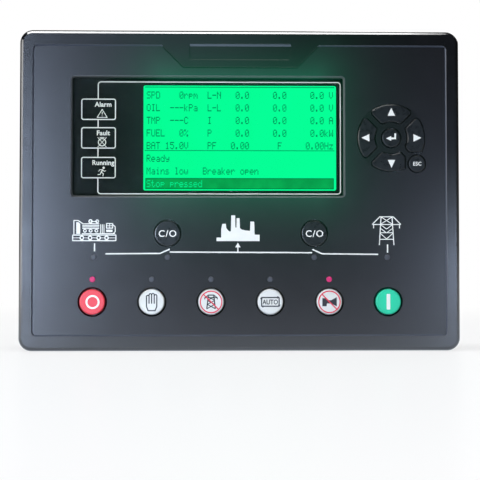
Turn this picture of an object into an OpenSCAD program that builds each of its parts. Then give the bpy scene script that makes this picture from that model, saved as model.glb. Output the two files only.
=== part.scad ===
// Genset controller for a panel cut-out: a bezel with keys and a display, and a case behind it.
// All modules are drawn as seen from the front: x right, y up, z towards the viewer.
// The upright module then stands them up, so the front faces -Y and the panel plane is Y = 0.

/* [Front] */
// Width of the bezel
front_w = 240.8; // [236:0.2:246]
// Height of the bezel
front_h = 175.2; // [173:0.2:180]
// Thickness of the bezel, from its front face to its back face
bezel_t = 11; // [10:0.5:13]
// Radius of the bezel's outer corners
corner_r = 7; // [5:0.5:10]
// Radius of the rolled outer edge
edge_r = 5.5; // [4:0.1:6]
// Angle through which the outer edge rolls inwards
edge_turn = 36; // [30:1:40]
// Width of the bevel inside the rolled edge
bevel_w = 1; // [0.6:0.1:1.4]
// Height of that bevel
bevel_h = 0.85; // [0.6:0.05:1]
// Width of the raised border left and right of the overlay
border_x = 7.2; // [7:0.1:9]
// Width of the raised border above and below the overlay
border_y = 8.1; // [7.5:0.1:9]
// Depth of the overlay's face below the border
panel_sink = 0.7; // [0.5:0.1:1]
// Sideways run of the sloping walls of the sunken field
slope = 0.7; // [0.4:0.1:1]
// Wall thickness of the bezel behind the overlay
wall_t = 2.2; // [2:0.1:3]

/* [Inset] */
// Width of the raised tongue at the top, where it leaves the border
tongue_w = 86; // [80:1:92]
// Height of that tongue
tongue_h = 12; // [10:0.5:13]
// Width of the shallow inset in the tongue
inset_w = 55.6; // [50:0.2:60]
// Height of that inset
inset_h = 9.2; // [8:0.2:10]
// Depth of that inset
inset_sink = 0.5; // [0.3:0.1:0.8]
// Distance of that inset below the bezel's top edge
inset_drop = 7.2; // [6:0.1:8]

/* [Display] */
// Width of the window recess
window_w = 150.2; // [148:0.2:152]
// Height of the window recess
window_h = 67; // [66:0.2:69]
// Window centre, right of the front's centre
window_x = -17.5; // [-18:0.1:-16]
// Distance from the top of the sunken field to the window
window_drop = 16.8; // [15:0.1:18]
// Depth of the window's face below the overlay
window_sink = 1.1; // [0.8:0.1:1.4]
// Thickness of the window
window_t = 2; // [1.6:0.1:2.4]
// Width of the ledge that the window lies on
window_ledge = 2.4; // [2:0.1:2.6]
// Thickness of that ledge
ledge_t = 1.5; // [1.2:0.1:2]
// Width of the dot field of the display
dots_w = 105.7; // [104:0.1:108]
// Height of the dot field of the display
dots_h = 57.6; // [56:0.1:58]
// Dot field's centre, right of the front's centre
dots_x = -0.1; // [-0.4:0.1:0.4]
// Distance of the dot field's centre below the window's centre
dots_drop = 0.6; // [0.3:0.1:0.9]

/* [Keys] */
// Travel of a key
key_travel = 1; // [0.6:0.1:1]
// Height of a key above the overlay
key_proud = 1.3; // [1.2:0.1:2]
// Gap between a key and its hole
key_gap = 0.45; // [0.35:0.05:0.5]
// Rounding of a key's front edge
key_edge = 0.7; // [0.4:0.1:0.9]
// Radius of a mode key
mode_r = 6.9; // [6.5:0.1:7.6]
// Distance between mode keys
mode_pitch = 32.2; // [31:0.1:33]
// Mode keys' height above the front's centre
mode_y = -60.9; // [-62:0.1:-60]
// Width of the bevel round each mode key's hole
mode_bevel = 0.7; // [0.4:0.1:0.9]
// Radius of a breaker key
breaker_r = 7.1; // [6.5:0.1:7.6]
// Distance of a breaker key from the middle
breaker_x = 40; // [39:0.1:41]
// Breaker keys' height above the front's centre
breaker_y = -23.7; // [-24:0.1:-23]
// Centre of the arrow keys, right of the front's centre
arrow_x = 82.7; // [82.4:0.1:84]
// Outer radius of the arrow keys
arrow_r = 18.3; // [17.8:0.1:18.6]
// Inner radius of the arrow keys
arrow_r_in = 9; // [8.5:0.1:9.4]
// Gap between neighbouring arrow keys
arrow_gap = 3.6; // [3.2:0.1:4.2]
// Radius of the arrow keys' corners
arrow_round = 2; // [1.8:0.1:2.4]
// Bevel of the arrow keys' front edges
arrow_edge = 0.45; // [0.3:0.05:0.5]
// Radius of the enter key
enter_r = 5.2; // [4.6:0.1:5.6]
// Radius of the escape key
escape_r = 4.7; // [4.2:0.1:4.8]
// Escape key's place right of and below the arrow keys' centre
escape_off = 14.1; // [14:0.1:14.4]
// Flat side of the two arrow keys next to the escape key
escape_flat = 7.7; // [7:0.1:7.8]

/* [Indicators] */
// Radius of an indicator
lamp_r = 1.5; // [1.2:0.1:1.8]
// Height of an indicator above the overlay
lamp_proud = 0.3; // [0.1:0.1:0.5]
// Height of the mode indicators above the front's centre
mode_lamp_y = -48.7; // [-49:0.1:-48]
// Height of the supply indicators above the front's centre
line_lamp_y = -36.7; // [-37:0.1:-35]
// Distance of the outer supply indicators from the middle
line_lamp_x = 80; // [79:0.1:81]

/* [Keypad] */
// Thickness of the printed overlay
overlay_t = 0.4; // [0.3:0.05:0.6]
// Depth that a key reaches behind the bezel's wall
key_guide = 1.2; // [1:0.1:1.5]
// Height of a keymat dome
dome_h = 2.8; // [2.6:0.1:3]
// Thickness of the keymat's sheet
mat_t = 1.2; // [1:0.1:1.4]
// Wall thickness of a keymat dome
dome_wall = 0.9; // [0.7:0.1:1]
// Thickness of the circuit boards
board_t = 1.6; // [1.2:0.1:1.8]
// Radius of the board screws' heads
screw_head_r = 2.6; // [2.2:0.1:2.8]
// Radius of the board screws' shanks
screw_r = 1.2; // [1:0.05:1.3]

/* [Case] */
// Width by which each side of the front laps over the panel
flange_x = 10.4; // [9:0.1:12]
// Height by which the top and the bottom of the front lap over the panel
flange_y = 7.6; // [7:0.1:9]
// Gap between the case and the cut-out on each side
cutout_gap = 1.5; // [1:0.1:2]
// Wall thickness of the case
case_wall = 2.5; // [2:0.1:2.8]
// Depth from the panel plane to the terminal ledges
ledge_d = 20; // [19.5:0.1:22]
// Depth from the panel plane to the back of the case
case_d = 38; // [36:0.5:44]
// Height of the deep middle part of the case
hump_h = 92; // [88:0.5:94]
// Distance from each side of the case to its deep middle
hump_in = 8.5; // [6.5:0.1:12]
// Thickness of the gasket
gasket_t = 3; // [2.5:0.1:4]
// Height of the gasket behind the bezel's back face
gasket_proud = 1; // [0.5:0.1:1.5]
// Width of the gasket
gasket_w = 4.6; // [4:0.1:4.8]
// Radius of the case screws' heads
case_screw_head_r = 3; // [2.6:0.1:3.2]
// Radius of the case screws' shanks
case_screw_r = 1.5; // [1.3:0.1:1.6]
// Thickness of the panel that the clips are set for
panel_t = 3; // [2.5:0.1:5]

/* [Terminals] */
// Distance between two ways of a terminal block
way_pitch = 5.08; // [5:0.01:5.1]
// Ways in the upper left block, seen from the front
ways_top_left = 16; // [10:1:16]
// Ways in the upper right block
ways_top_right = 14; // [10:1:15]
// Ways in the lower left block
ways_bottom_left = 12; // [8:1:12]
// Ways in the lower right block
ways_bottom_right = 16; // [10:1:17]
// Height of a plug
plug_h = 13; // [12:0.1:14]
// Length of a plug behind its header
plug_d = 14; // [13:0.1:16]
// Distance of the terminal rows from the middle
row_y = 60; // [59.5:0.1:60.5]
// Radius of a clamp screw's head
clamp_r = 1.8; // [1.5:0.1:2]

/* [Fits] */
// Gap around parts that are laid into a recess
lay_gap = 0.15; // [0.1:0.05:0.2]
// Gap between the case and the bezel's locating lip
lip_gap = 0.25; // [0.2:0.05:0.3]
// Gap around a connector in its hole
hole_gap = 0.3; // [0.2:0.05:0.4]

/* [Hidden] */
$fn = 64;
eps = 0.01;

// Levels along z, from the front backwards
back_z = gasket_proud;
front_z = back_z + bezel_t;
panel_z = front_z - panel_sink;
floor_z = panel_z - overlay_t;
inner_z = floor_z - wall_t;
window_z = panel_z - window_sink;
window_back_z = window_z - window_t;
window_ledge_z = window_back_z - ledge_t;
key_z = panel_z + key_proud;
dome_z = inner_z - key_guide;
mat_z = dome_z - dome_h;
keypad_z = mat_z - mat_t;
keypad_back_z = keypad_z - board_t;
seal_t = 1;
lcd_z = window_ledge_z - seal_t;
lcd_sheet = 0.8;
lcd_glass_t = 2.2;
lcd_light_t = 3;
lcd_board_z = lcd_z - lcd_sheet - lcd_glass_t - lcd_light_t;
lcd_board_back_z = lcd_board_z - board_t;
main_back_z = -ledge_d + case_wall + 5.9;
main_z = main_back_z + board_t;
boss_end_z = -6;

// Outlines
cutout_w = front_w - 2 * flange_x;
cutout_h = front_h - 2 * flange_y;
case_w = cutout_w - 2 * cutout_gap;
case_h = cutout_h - 2 * cutout_gap;
case_r = 6;
hump_w = case_w - 2 * hump_in;
lip_w = case_w - 2 * case_wall - 2 * lip_gap;
lip_h = case_h - 2 * case_wall - 2 * lip_gap;
lip_t = 1.8;
lip_r = case_r - case_wall - lip_gap;
cavity_w = lip_w - 2 * lip_t;
cavity_h = lip_h - 2 * lip_t;
field_w = front_w - 2 * border_x;
field_h = front_h - 2 * border_y;
field_r = 2;
window_y = field_h / 2 - window_drop - window_h / 2;
dots_y = window_y - dots_drop;
arrow_y = dots_y;
pane_w = window_w - 2 * window_sink;
pane_h = window_h - 2 * window_sink;
pane_r = 1.2;
opening_w = pane_w - 2 * window_ledge;
opening_h = pane_h - 2 * window_ledge;
rim_w = 2;
lcd_w = dots_w + 14.8;
lcd_h = dots_h + 12;
lcd_board_w = lcd_w + 3;
lcd_board_h = lcd_h + 14;
case_screw_at = [cavity_w / 2 - 4.4, cavity_h / 2 - 4.4];
lcd_screw_at = [50, lcd_h / 2 + 4];
post_at = [case_w / 2 - 11.5, 50];
keypad_low_y = window_y - window_h / 2 - 4.1;
keypad_high_y = window_y + window_h / 2 + 3.8;
keypad_screw_at = [[-60, -42], [0, -42], [62, -42], [-cavity_w / 2 + 17, keypad_high_y],
    [-cavity_w / 2 + 6.95, keypad_low_y], [arrow_x - 15.2, arrow_y + 17.9],
    [cavity_w / 2 - 4.45, arrow_y + 24], [arrow_x - 14.7, keypad_low_y + 1.4]];
keypad_top = keypad_high_y + 4;
mat_top = arrow_y + arrow_r + 0.5;
mat_low = -cavity_h / 2 + 2.95;
mat_w = 5 * mode_pitch + 2 * mode_r + 5;
keypad_left_x = dots_x - lcd_w / 2 - 3;
keypad_right_x = dots_x + lcd_w / 2 + 1.5;
keypad_strip_y = dots_y - lcd_board_h / 2 - 1.2;
arrow_dome_r = (arrow_r + arrow_r_in) / 2;
corner_cut = 5;
corner_out_a = 45 + asin((arrow_gap / 2 + arrow_round) / (arrow_r - arrow_round));
corner_in_a = 45 + asin((arrow_gap / 2 + arrow_round) / (arrow_r_in + arrow_round));
corner_out = (arrow_r - arrow_round) * [cos(corner_out_a), sin(corner_out_a)];
corner_in = (arrow_r_in + arrow_round) * [cos(corner_in_a), sin(corner_in_a)];
header_h = 8.6;
header_wall = 1;
header_end_z = -ledge_d - 1.5;
plug_back_z = header_end_z - plug_d;
ways = [ways_top_left, ways_top_right, ways_bottom_left, ways_bottom_right];
block_x = [-51, 36, -61, 46];
block_side = [1, 1, -1, -1];
usb_x = 86.5;
usb_y = row_y - 1.5;
usb_w = 12;
usb_h = 11;
usb_wall = 0.5;
clip_y = 40;
clip_z = -panel_t - 9;
clip_w = 12;
clip_x = case_w / 2;
clip_slot = 4;

function mode_x(i) = (i - 2.5) * mode_pitch + 0.2;
function block_l(i) = ways[i] * way_pitch + 1.6;
function arc(cx, cy, r, a0, a1, n) =
    [for (i = [0:n]) [cx + r * cos(a0 + (a1 - a0) * i / n), cy + r * sin(a0 + (a1 - a0) * i / n)]];

// Stands a piece up, so its front faces -Y
module upright() {
    rotate([90, 0, 0])
        children();
}

// Rounded rectangle of width w, height h and corner radius r
module plate(w, h, r) {
    square([w - 2 * r, h], center = true);
    square([w, h - 2 * r], center = true);
    for (x = [-1, 1], y = [-1, 1])
        translate([x * (w / 2 - r), y * (h / 2 - r)])
            circle(r);
}

// Flat shape drawn between two levels
module layer(z0, z1) {
    translate([0, 0, z0])
        linear_extrude(z1 - z0)
            children();
}

// Round bar between two levels
module rod(r, z0, z1) {
    translate([0, 0, z0])
        cylinder(r = r, h = z1 - z0);
}

// Block between two levels, centred in x and y
module block(w, h, z0, z1) {
    translate([-w / 2, -h / 2, z0])
        cube([w, h, z1 - z0]);
}

// Slab with an edge profile run round a rounded rectangle, of height t on its straight middle
// The profile starts at the corner's centre, x = 0, and ends at the edge, x = r
module run_round(w, h, r, t) {
    block(w - 2 * r, h - 2 * r, 0, t);
    for (i = [0:3])
        rotate(90 * i)
            run_side(i % 2 == 0 ? w : h, i % 2 == 0 ? h : w, r)
                children();
}

// One side and the corner after it
module run_side(w, h, r) {
    translate([w / 2 - r, h / 2 - r, 0])
        rotate([90, 0, 0])
            linear_extrude(h - 2 * r)
                children();
    translate([w / 2 - r, h / 2 - r, 0])
        rotate_extrude(angle = 90)
            children();
}

// Recess with sloping walls: floor w by h with corner radius r, depth t, run s outwards at the top
module sloped_recess(w, h, r, t, s) {
    run_round(w, h, r, t)
        polygon([[0, 0], [r, 0], [r + s, t], [0, t]]);
}

// Slab with a bevelled front edge
module bevelled(w, h, r, t, c) {
    run_round(w, h, r, t)
        polygon([[0, 0], [r, 0], [r, t - c], [r - c, t], [0, t]]);
}

// Outline of the tongue at the top of the sunken field, grown by g
module tongue(g) {
    top = front_h / 2;
    foot = field_h / 2 - tongue_h - g;
    polygon([[-tongue_w / 2 - g - border_y, top], [-tongue_w / 2 - g * 0.41 + tongue_h, foot],
        [tongue_w / 2 + g * 0.41 - tongue_h, foot], [tongue_w / 2 + g + border_y, top]]);
}

// Outline of one arrow key, pointing up, grown by g
module arrow_shape(g) {
    apex = (arrow_gap / 2 - g) * sqrt(2);
    intersection() {
        difference() {
            circle(arrow_r + g);
            circle(arrow_r_in - g);
        }
        polygon([[0, apex], [40, apex + 40], [-40, apex + 40]]);
    }
}

// The four arrow keys are turned copies: 0 up, 1 left, 2 down, 3 right
module arrow_outline(i, g) {
    difference() {
        intersection() {
            rotate(90 * i)
                arrow_shape(g);
            if (i == 2)
                translate([-40 + escape_flat + g, 0])
                    square([80, 80], center = true);
            else if (i == 3)
                translate([0, 40 - escape_flat - g])
                    square([80, 80], center = true);
            else
                square([80, 80], center = true);
        }
        corner_cuts(i, g);
    }
}

// Straight cuts along the flats of the rounded corners of arrow key i, grown by g
module corner_cuts(i, g) {
    for (s = [0, 1])
        rotate(90 * i)
            mirror([s, 0, 0]) {
                for (k = [1:3])
                    flat_cut(corner_out, -45 + k * (corner_out_a + 45) / 4, g);
                for (k = [1:2])
                    flat_cut(corner_in, -45 - k * (135 - corner_in_a) / 3, g);
            }
}

// One cut, facing away from a corner's centre at angle a
module flat_cut(centre, a, g) {
    translate([centre.x + (arrow_round + g) * cos(a), centre.y + (arrow_round + g) * sin(a)])
        rotate(a)
            translate([0, -corner_cut / 2])
                square([10, corner_cut]);
}

// Centres of the round keys
module at_mode(i) {
    translate([mode_x(i), mode_y, 0])
        children();
}

module at_breaker(s) {
    translate([s * breaker_x + 0.4, breaker_y, 0])
        children();
}

module at_arrows() {
    translate([arrow_x, arrow_y, 0])
        children();
}

module at_escape() {
    translate([arrow_x + escape_off, arrow_y - escape_off, 0])
        children();
}

// Centres of all indicators: lit ones stand over the stop and mute keys
module at_lamps(lit) {
    for (i = [0:4])
        if ((i == 0 || i == 4) == lit)
            translate([mode_x(i), mode_lamp_y, 0])
                children();
    if (!lit) {
        for (s = [-1, 1]) {
            translate([s * line_lamp_x + 0.4, line_lamp_y, 0])
                children();
            translate([s * breaker_x + 0.4, line_lamp_y, 0])
                children();
        }
    }
}

module at_status() {
    for (y = [15.4, -0.2, -16.4])
        translate([dots_x - 81.9, dots_y + y, 0])
            children();
}

module at_case_screws() {
    for (x = [-1, 1], y = [-1, 1])
        translate([x * case_screw_at.x, y * case_screw_at.y, 0])
            children();
}

module at_lcd_screws() {
    for (x = [-1, 1], y = [-1, 1])
        translate([dots_x + x * lcd_screw_at.x, dots_y + y * lcd_screw_at.y, 0])
            children();
}

module at_posts() {
    for (x = [-1, 1], y = [-1, 1])
        translate([x * post_at.x, y * post_at.y, 0])
            children();
}

module at_keypad_screws() {
    for (p = keypad_screw_at)
        translate([p.x, p.y, 0])
            children();
}

// Holes for all keys and indicators, widened by g
module key_holes(z0, z1, g) {
    for (i = [0:5])
        at_mode(i)
            rod(mode_r + g, z0, z1);
    for (s = [-1, 1])
        at_breaker(s)
            rod(breaker_r + g, z0, z1);
    at_arrows() {
        rod(enter_r + g, z0, z1);
        for (i = [0:3])
            layer(z0, z1)
                arrow_outline(i, g);
    }
    at_escape()
        rod(escape_r + g, z0, z1);
}

module lamp_holes(z0, z1, g) {
    for (lit = [true, false])
        at_lamps(lit)
            rod(lamp_r + g, z0, z1);
}

// Moulded front with its rolled edge, sunken field, window seat, key holes and bosses
module front_bezel() {
    color("#4a4e57")
        upright()
            difference() {
                union() {
                    difference() {
                        bezel_shell();
                        field_recess();
                    }
                    bezel_inside();
                }
                window_seat();
                key_holes(inner_z - 5, front_z + 1, key_gap);
                lamp_holes(inner_z - 1, front_z, lay_gap / 2);
                for (i = [0:5])
                    at_mode(i)
                        translate([0, 0, floor_z - mode_bevel])
                            cylinder(r1 = mode_r + key_gap, r2 = mode_r + key_gap + mode_bevel,
                                h = mode_bevel + eps);
                at_case_screws()
                    rod(case_screw_r - 0.1, boss_end_z - 1, inner_z - 3);
                at_lcd_screws()
                    rod(screw_r - 0.1, lcd_board_z - 1, inner_z - 2);
                at_keypad_screws()
                    rod(screw_r - 0.1, keypad_z - 1, inner_z - 1);
            }
}

// Outside of the bezel, hollow at the back, with the gasket's seat
module bezel_shell() {
    t = bezel_t;
    roll_z = t - bevel_h - edge_r * sin(edge_turn);
    roll_w = edge_r * (1 - cos(edge_turn));
    translate([0, 0, back_z])
        difference() {
            run_round(front_w, front_h, corner_r, t)
                polygon(concat([[0, 0], [corner_r, 0]],
                    arc(corner_r - edge_r, roll_z, edge_r, 0, edge_turn, 5),
                    [[corner_r - roll_w - bevel_w, t], [0, t]]));
            layer(-1, inner_z - back_z)
                plate(cavity_w, cavity_h, lip_r);
            layer(-1, gasket_t - gasket_proud)
                gasket_outline(lay_gap);
            layer(-1, bezel_t - 4.5)
                difference() {
                    plate(case_w + 4.4, case_h + 3.2, case_r + 1.6);
                    plate(case_w + 0.8, case_h + 0.8, case_r + 0.4);
                }
        }
}

// Ring of the gasket, grown by g
module gasket_outline(g) {
    out = 2 * (rim_w - g + lay_gap);
    in = out + 2 * (gasket_w + 2 * g);
    difference() {
        plate(front_w - out, front_h - out, corner_r - rim_w + g);
        plate(front_w - in, front_h - in, 1);
    }
}

// Sunken field with the tongue left standing, and the inset in the tongue
module field_recess() {
    difference() {
        translate([0, 0, floor_z])
            sloped_recess(field_w - 2 * slope, field_h - 2 * slope, field_r, panel_sink + overlay_t,
                slope);
        hull() {
            layer(floor_z - 1, floor_z + eps)
                tongue(slope);
            layer(front_z, front_z + eps)
                tongue(0);
        }
    }
    translate([0, front_h / 2 - inset_drop - inset_h / 2, front_z - inset_sink])
        sloped_recess(inset_w - inset_sink, inset_h - inset_sink, 0.8, inset_sink, inset_sink / 2);
}

// Window recess: sloping sides, the pane's pocket and the opening behind it
module window_seat() {
    translate([window_x, window_y, 0]) {
        translate([0, 0, window_z])
            sloped_recess(pane_w, pane_h, pane_r, window_sink, window_sink);
        layer(window_back_z, window_z + eps)
            plate(pane_w, pane_h, pane_r);
        layer(window_ledge_z - 1, window_back_z + eps)
            plate(opening_w, opening_h, 1);
    }
}

// Locating lip, window frame and screw bosses on the inside of the bezel
module bezel_inside() {
    layer(-4, back_z + eps)
        difference() {
            plate(lip_w, lip_h, lip_r);
            plate(cavity_w, cavity_h, lip_r);
        }
    translate([window_x, window_y, 0])
        layer(window_ledge_z, floor_z - 0.5)
            plate(window_w + 3, window_h + 3, 2);
    at_case_screws()
        rod(3.5, boss_end_z, inner_z + eps);
    at_lcd_screws()
        rod(3, lcd_board_z, inner_z + eps);
    at_keypad_screws()
        rod(3, keypad_z, inner_z + eps);
}

// Printed film that fills the sunken field's floor
module front_overlay() {
    color("#50545f")
        upright()
            difference() {
                layer(floor_z, panel_z)
                    difference() {
                        plate(field_w - 2 * slope - 2 * lay_gap, field_h - 2 * slope - 2 * lay_gap,
                            field_r);
                        tongue(slope + lay_gap);
                        translate([window_x, window_y])
                            plate(window_w, window_h, pane_r + window_sink);
                    }
                key_holes(floor_z - 1, front_z, key_gap);
                for (i = [0:5])
                    at_mode(i)
                        rod(mode_r + key_gap + mode_bevel, floor_z - 1, front_z);
                lamp_holes(floor_z - 1, front_z, lay_gap / 2);
            }
}

// Foam ring in the groove of the bezel's back
module panel_gasket() {
    color("#17181a")
        upright()
            layer(back_z - gasket_proud, back_z - gasket_proud + gasket_t)
                gasket_outline(0);
}

// Tinted pane in front of the display
module display_window() {
    color("#22282c")
        upright()
            translate([window_x, window_y, 0])
                layer(window_back_z, window_z)
                    plate(pane_w - 2 * lay_gap, pane_h - 2 * lay_gap, pane_r);
}

// Foam frame between the window ledge and the display module
module lcd_seal() {
    color("#202022")
        upright()
            translate([dots_x, dots_y, 0])
                layer(lcd_z, window_ledge_z)
                    difference() {
                        square([lcd_w - 1, lcd_h - 1], center = true);
                        square([dots_w + 3, dots_h + 3], center = true);
                    }
}

// Pressed steel frame of the display module
module lcd_frame() {
    color("#2b2d30")
        upright()
            translate([dots_x, dots_y, 0])
                difference() {
                    block(lcd_w, lcd_h, lcd_board_z, lcd_z);
                    block(lcd_w - 2 * lcd_sheet, lcd_h - 2 * lcd_sheet, lcd_board_z - 1,
                        lcd_z - lcd_sheet);
                    block(dots_w + 2, dots_h + 2, lcd_z - 2, lcd_z + 1);
                }
}

// Glass cell of the display
module lcd_glass() {
    color("#19ec84")
        upright()
            translate([dots_x, dots_y, 0])
                block(lcd_w - 2 * lcd_sheet - 0.4, lcd_h - 2 * lcd_sheet - 0.4,
                    lcd_z - lcd_sheet - lcd_glass_t, lcd_z - lcd_sheet);
}

// Light guide behind the glass
module lcd_backlight() {
    color("#e8f2ec")
        upright()
            translate([dots_x, dots_y, 0])
                block(lcd_w - 2 * lcd_sheet - 0.6, lcd_h - 2 * lcd_sheet - 0.6, lcd_board_z,
                    lcd_board_z + lcd_light_t);
}

// Board of the display module, with screw holes
module lcd_board() {
    color("#1f6b3a")
        upright()
            difference() {
                translate([dots_x, dots_y, 0])
                    block(lcd_board_w, lcd_board_h, lcd_board_back_z, lcd_board_z);
                at_lcd_screws()
                    rod(screw_r + 0.2, lcd_board_back_z - 1, lcd_board_z + 1);
            }
}

// One pan head screw with a cross recess, head below z, shank up to length l
module board_screw(z, l) {
    difference() {
        union() {
            rod(screw_head_r, z - 1.8, z);
            rod(screw_r - 0.1, z - eps, z + l);
        }
        block(screw_head_r, 0.6, z - 3, z - 1);
        block(0.6, screw_head_r, z - 3, z - 1);
    }
}

module lcd_screws() {
    color("#b9bcc0")
        upright()
            at_lcd_screws()
                board_screw(lcd_board_back_z, board_t + 5);
}

// Three cells that keep the status lights apart
module status_light_box() {
    color("#e6e6e2")
        upright()
            difference() {
                translate([dots_x - 78.8, dots_y - 0.4, 0])
                    block(19, 50, keypad_z, window_back_z - 0.1);
                at_status()
                    block(10, 11, keypad_z - 1, window_back_z + 1);
            }
}

// Light pipes, held by a collar behind the bezel's wall
module lamp_pipe() {
    rod(lamp_r, mat_z + 1.6, panel_z + lamp_proud - 0.3);
    translate([0, 0, panel_z + lamp_proud - 0.3])
        cylinder(r1 = lamp_r, r2 = lamp_r - 0.5, h = 0.3);
    rod(lamp_r + 0.9, inner_z - 1, inner_z);
}

module lamps_lit() {
    color("#f45b7e")
        upright()
            at_lamps(true)
                lamp_pipe();
}

module lamps_off() {
    color("#9a9ca0")
        upright()
            at_lamps(false)
                lamp_pipe();
}

// Small lamps on the keypad board, one behind each light pipe and in each status cell
module indicator_leds() {
    color("#f0e9c8")
        upright() {
            for (lit = [true, false])
                at_lamps(lit)
                    block(2, 2, keypad_z, mat_z + 0.8);
            at_status()
                block(3, 3, keypad_z, keypad_z + 1.6);
        }
}

// One hollow dome with its contact pill, radius r at the top
module dome(r) {
    difference() {
        rod_cone(r + 1.2, r, mat_z - eps, dome_z);
        rod_cone(r + 1.2 - dome_wall, r - dome_wall, keypad_z - 1, dome_z - dome_wall);
    }
    rod(r * 0.45, keypad_z + key_travel, dome_z - eps);
}

module rod_cone(r0, r1, z0, z1) {
    translate([0, 0, z0])
        cylinder(r1 = r0, r2 = r1, h = z1 - z0);
}

// Domes of all keys
module domes() {
    for (i = [0:5])
        at_mode(i)
            dome(mode_r - 1.8);
    for (s = [-1, 1])
        at_breaker(s)
            dome(breaker_r - 1.8);
    at_arrows() {
        dome(enter_r - 1.6);
        for (i = [0:3])
            rotate(90 * i)
                translate([0, arrow_dome_r, 0])
                    dome(2.9);
    }
    at_escape()
        dome(escape_r - 1.6);
}

// Hollows under all domes
module dome_wells() {
    for (i = [0:5])
        at_mode(i)
            rod(mode_r - 1.8 + 1.2 - dome_wall, keypad_z - 1, mat_z + eps);
    for (s = [-1, 1])
        at_breaker(s)
            rod(breaker_r - 1.8 + 1.2 - dome_wall, keypad_z - 1, mat_z + eps);
    at_arrows() {
        rod(enter_r - 1.6 + 1.2 - dome_wall, keypad_z - 1, mat_z + eps);
        for (i = [0:3])
            rotate(90 * i)
                translate([0, arrow_dome_r, 0])
                    rod(2.9 + 1.2 - dome_wall, keypad_z - 1, mat_z + eps);
    }
    at_escape()
        rod(escape_r - 1.6 + 1.2 - dome_wall, keypad_z - 1, mat_z + eps);
}

// Silicone sheet with a dome under each key
module keymat() {
    color("#c9cbcd")
        upright() {
            difference() {
                layer(keypad_z, mat_z) {
                    translate([-mat_w / 2, mat_low])
                        square([mat_w, keypad_strip_y - 1 - mat_low]);
                    translate([keypad_right_x + 1, keypad_strip_y - 2])
                        square([cavity_w / 2 - 2.5 - keypad_right_x, mat_top - keypad_strip_y + 2]);
                }
                at_keypad_screws()
                    rod(3.4, keypad_z - 1, mat_z + 1);
                lamp_holes(keypad_z - 1, mat_z + 1, 0.6);
                dome_wells();
            }
            domes();
        }
}

// Board under the keymat, open in the middle for the display module
module keypad_board() {
    color("#1f6b3a")
        upright()
            difference() {
                layer(keypad_back_z, keypad_z)
                    difference() {
                        translate([-cavity_w / 2 + 0.9, -cavity_h / 2 + 0.9])
                            square([cavity_w - 1.8, keypad_top + cavity_h / 2 - 0.9]);
                        translate([keypad_left_x, keypad_strip_y])
                            square([keypad_right_x - keypad_left_x, cavity_h]);
                        for (x = [-1, 1], y = [-1, 1])
                            translate([x * cavity_w / 2, y * cavity_h / 2])
                                square([22, 22], center = true);
                    }
                at_keypad_screws()
                    rod(screw_r + 0.2, keypad_back_z - 1, keypad_z + 1);
            }
}

module keypad_screws() {
    color("#b9bcc0")
        upright()
            at_keypad_screws()
                board_screw(keypad_back_z, board_t + 3.4);
}

// Board connectors: a socket on the front board and a header on the main board
module link_pair(z0, z1) {
    mid = (z0 + z1) / 2;
    block(42, 6, z0, mid);
    block(40, 5, mid - eps, z1);
}

module keypad_link() {
    color("#1b1c1e")
        upright()
            translate([0, -cavity_h / 2 + 8.95, 0])
                link_pair(main_z, keypad_back_z);
}

module lcd_link() {
    color("#1b1c1e")
        upright()
            translate([0, dots_y + lcd_board_h / 2 - 8.4, 0])
                link_pair(main_z, lcd_board_back_z);
}

// Main board in the case, cut round the case screws' tubes
module main_board() {
    color("#1f6b3a")
        upright()
            difference() {
                layer(main_back_z, main_z)
                    plate(case_w - 2 * case_wall - 12, case_h - 2 * case_wall - 12, 2);
                at_case_screws()
                    rod(6.2, main_back_z - 1, main_z + 1);
                at_posts()
                    rod(screw_r + 0.2, main_back_z - 1, main_z + 1);
            }
}

module main_board_screws() {
    color("#b9bcc0")
        upright()
            mirror([0, 0, 1])
                at_posts()
                    board_screw(-main_z, board_t + 4);
}

// Chips on the main board
module processor() {
    color("#1c1d20")
        upright() {
            translate([0, 8, 0])
                block(20, 20, main_back_z - 1.6, main_back_z);
            translate([-28, 6, 0])
                block(10, 18, main_back_z - 1.8, main_back_z);
            translate([28, 4, 0])
                block(14, 10, main_back_z - 1.8, main_back_z);
        }
}

// Output relays under the upper terminals
module relays() {
    color("#22262c")
        upright()
            for (i = [0:5])
                translate([-hump_w / 2 + 18 + 18.5 * i, 32, 0])
                    block(15, 19, main_back_z - 15, main_back_z);
}

// Ring transformers for the current inputs
module current_transformers() {
    color("#23355c")
        upright()
            for (i = [0:2])
                translate([hump_w / 2 - 18 - 24 * i, -28, 0])
                    difference() {
                        block(21, 21, main_back_z - 12, main_back_z);
                        rod(4.5, main_back_z - 13, main_back_z - 4);
                    }
}

// Supply capacitors
module capacitors() {
    color("#2c3038")
        upright()
            for (i = [0:3])
                translate([-hump_w / 2 + 16 + 14 * i, -30, 0]) {
                    rod(5, main_back_z - 16, main_back_z - 1);
                    rod(5.4, main_back_z - 1 - eps, main_back_z);
                }
}

// Button cell for the clock
module clock_cell() {
    color("#c8cacc")
        upright()
            translate([0, -26, 0]) {
                rod(10, main_back_z - 3.6, main_back_z - 0.6);
                rod(8.5, main_back_z - 0.6 - eps, main_back_z);
            }
}

// Outside of the case: the shallow part with the terminal ledges and the deep middle
module case_outside() {
    translate([0, 0, back_z])
        mirror([0, 0, 1])
            bevelled(case_w, case_h, case_r, ledge_d + back_z, 1.2);
    translate([0, 0, -ledge_d + 2])
        mirror([0, 0, 1])
            bevelled(hump_w, hump_h, 4, case_d - ledge_d + 2, 1.2);
}

module case_inside() {
    layer(-ledge_d + case_wall, back_z + 1)
        plate(case_w - 2 * case_wall, case_h - 2 * case_wall, case_r - case_wall);
    layer(-case_d + case_wall, -ledge_d + case_wall + eps)
        plate(hump_w - 2 * case_wall, hump_h - 2 * case_wall, 2);
}

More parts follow.
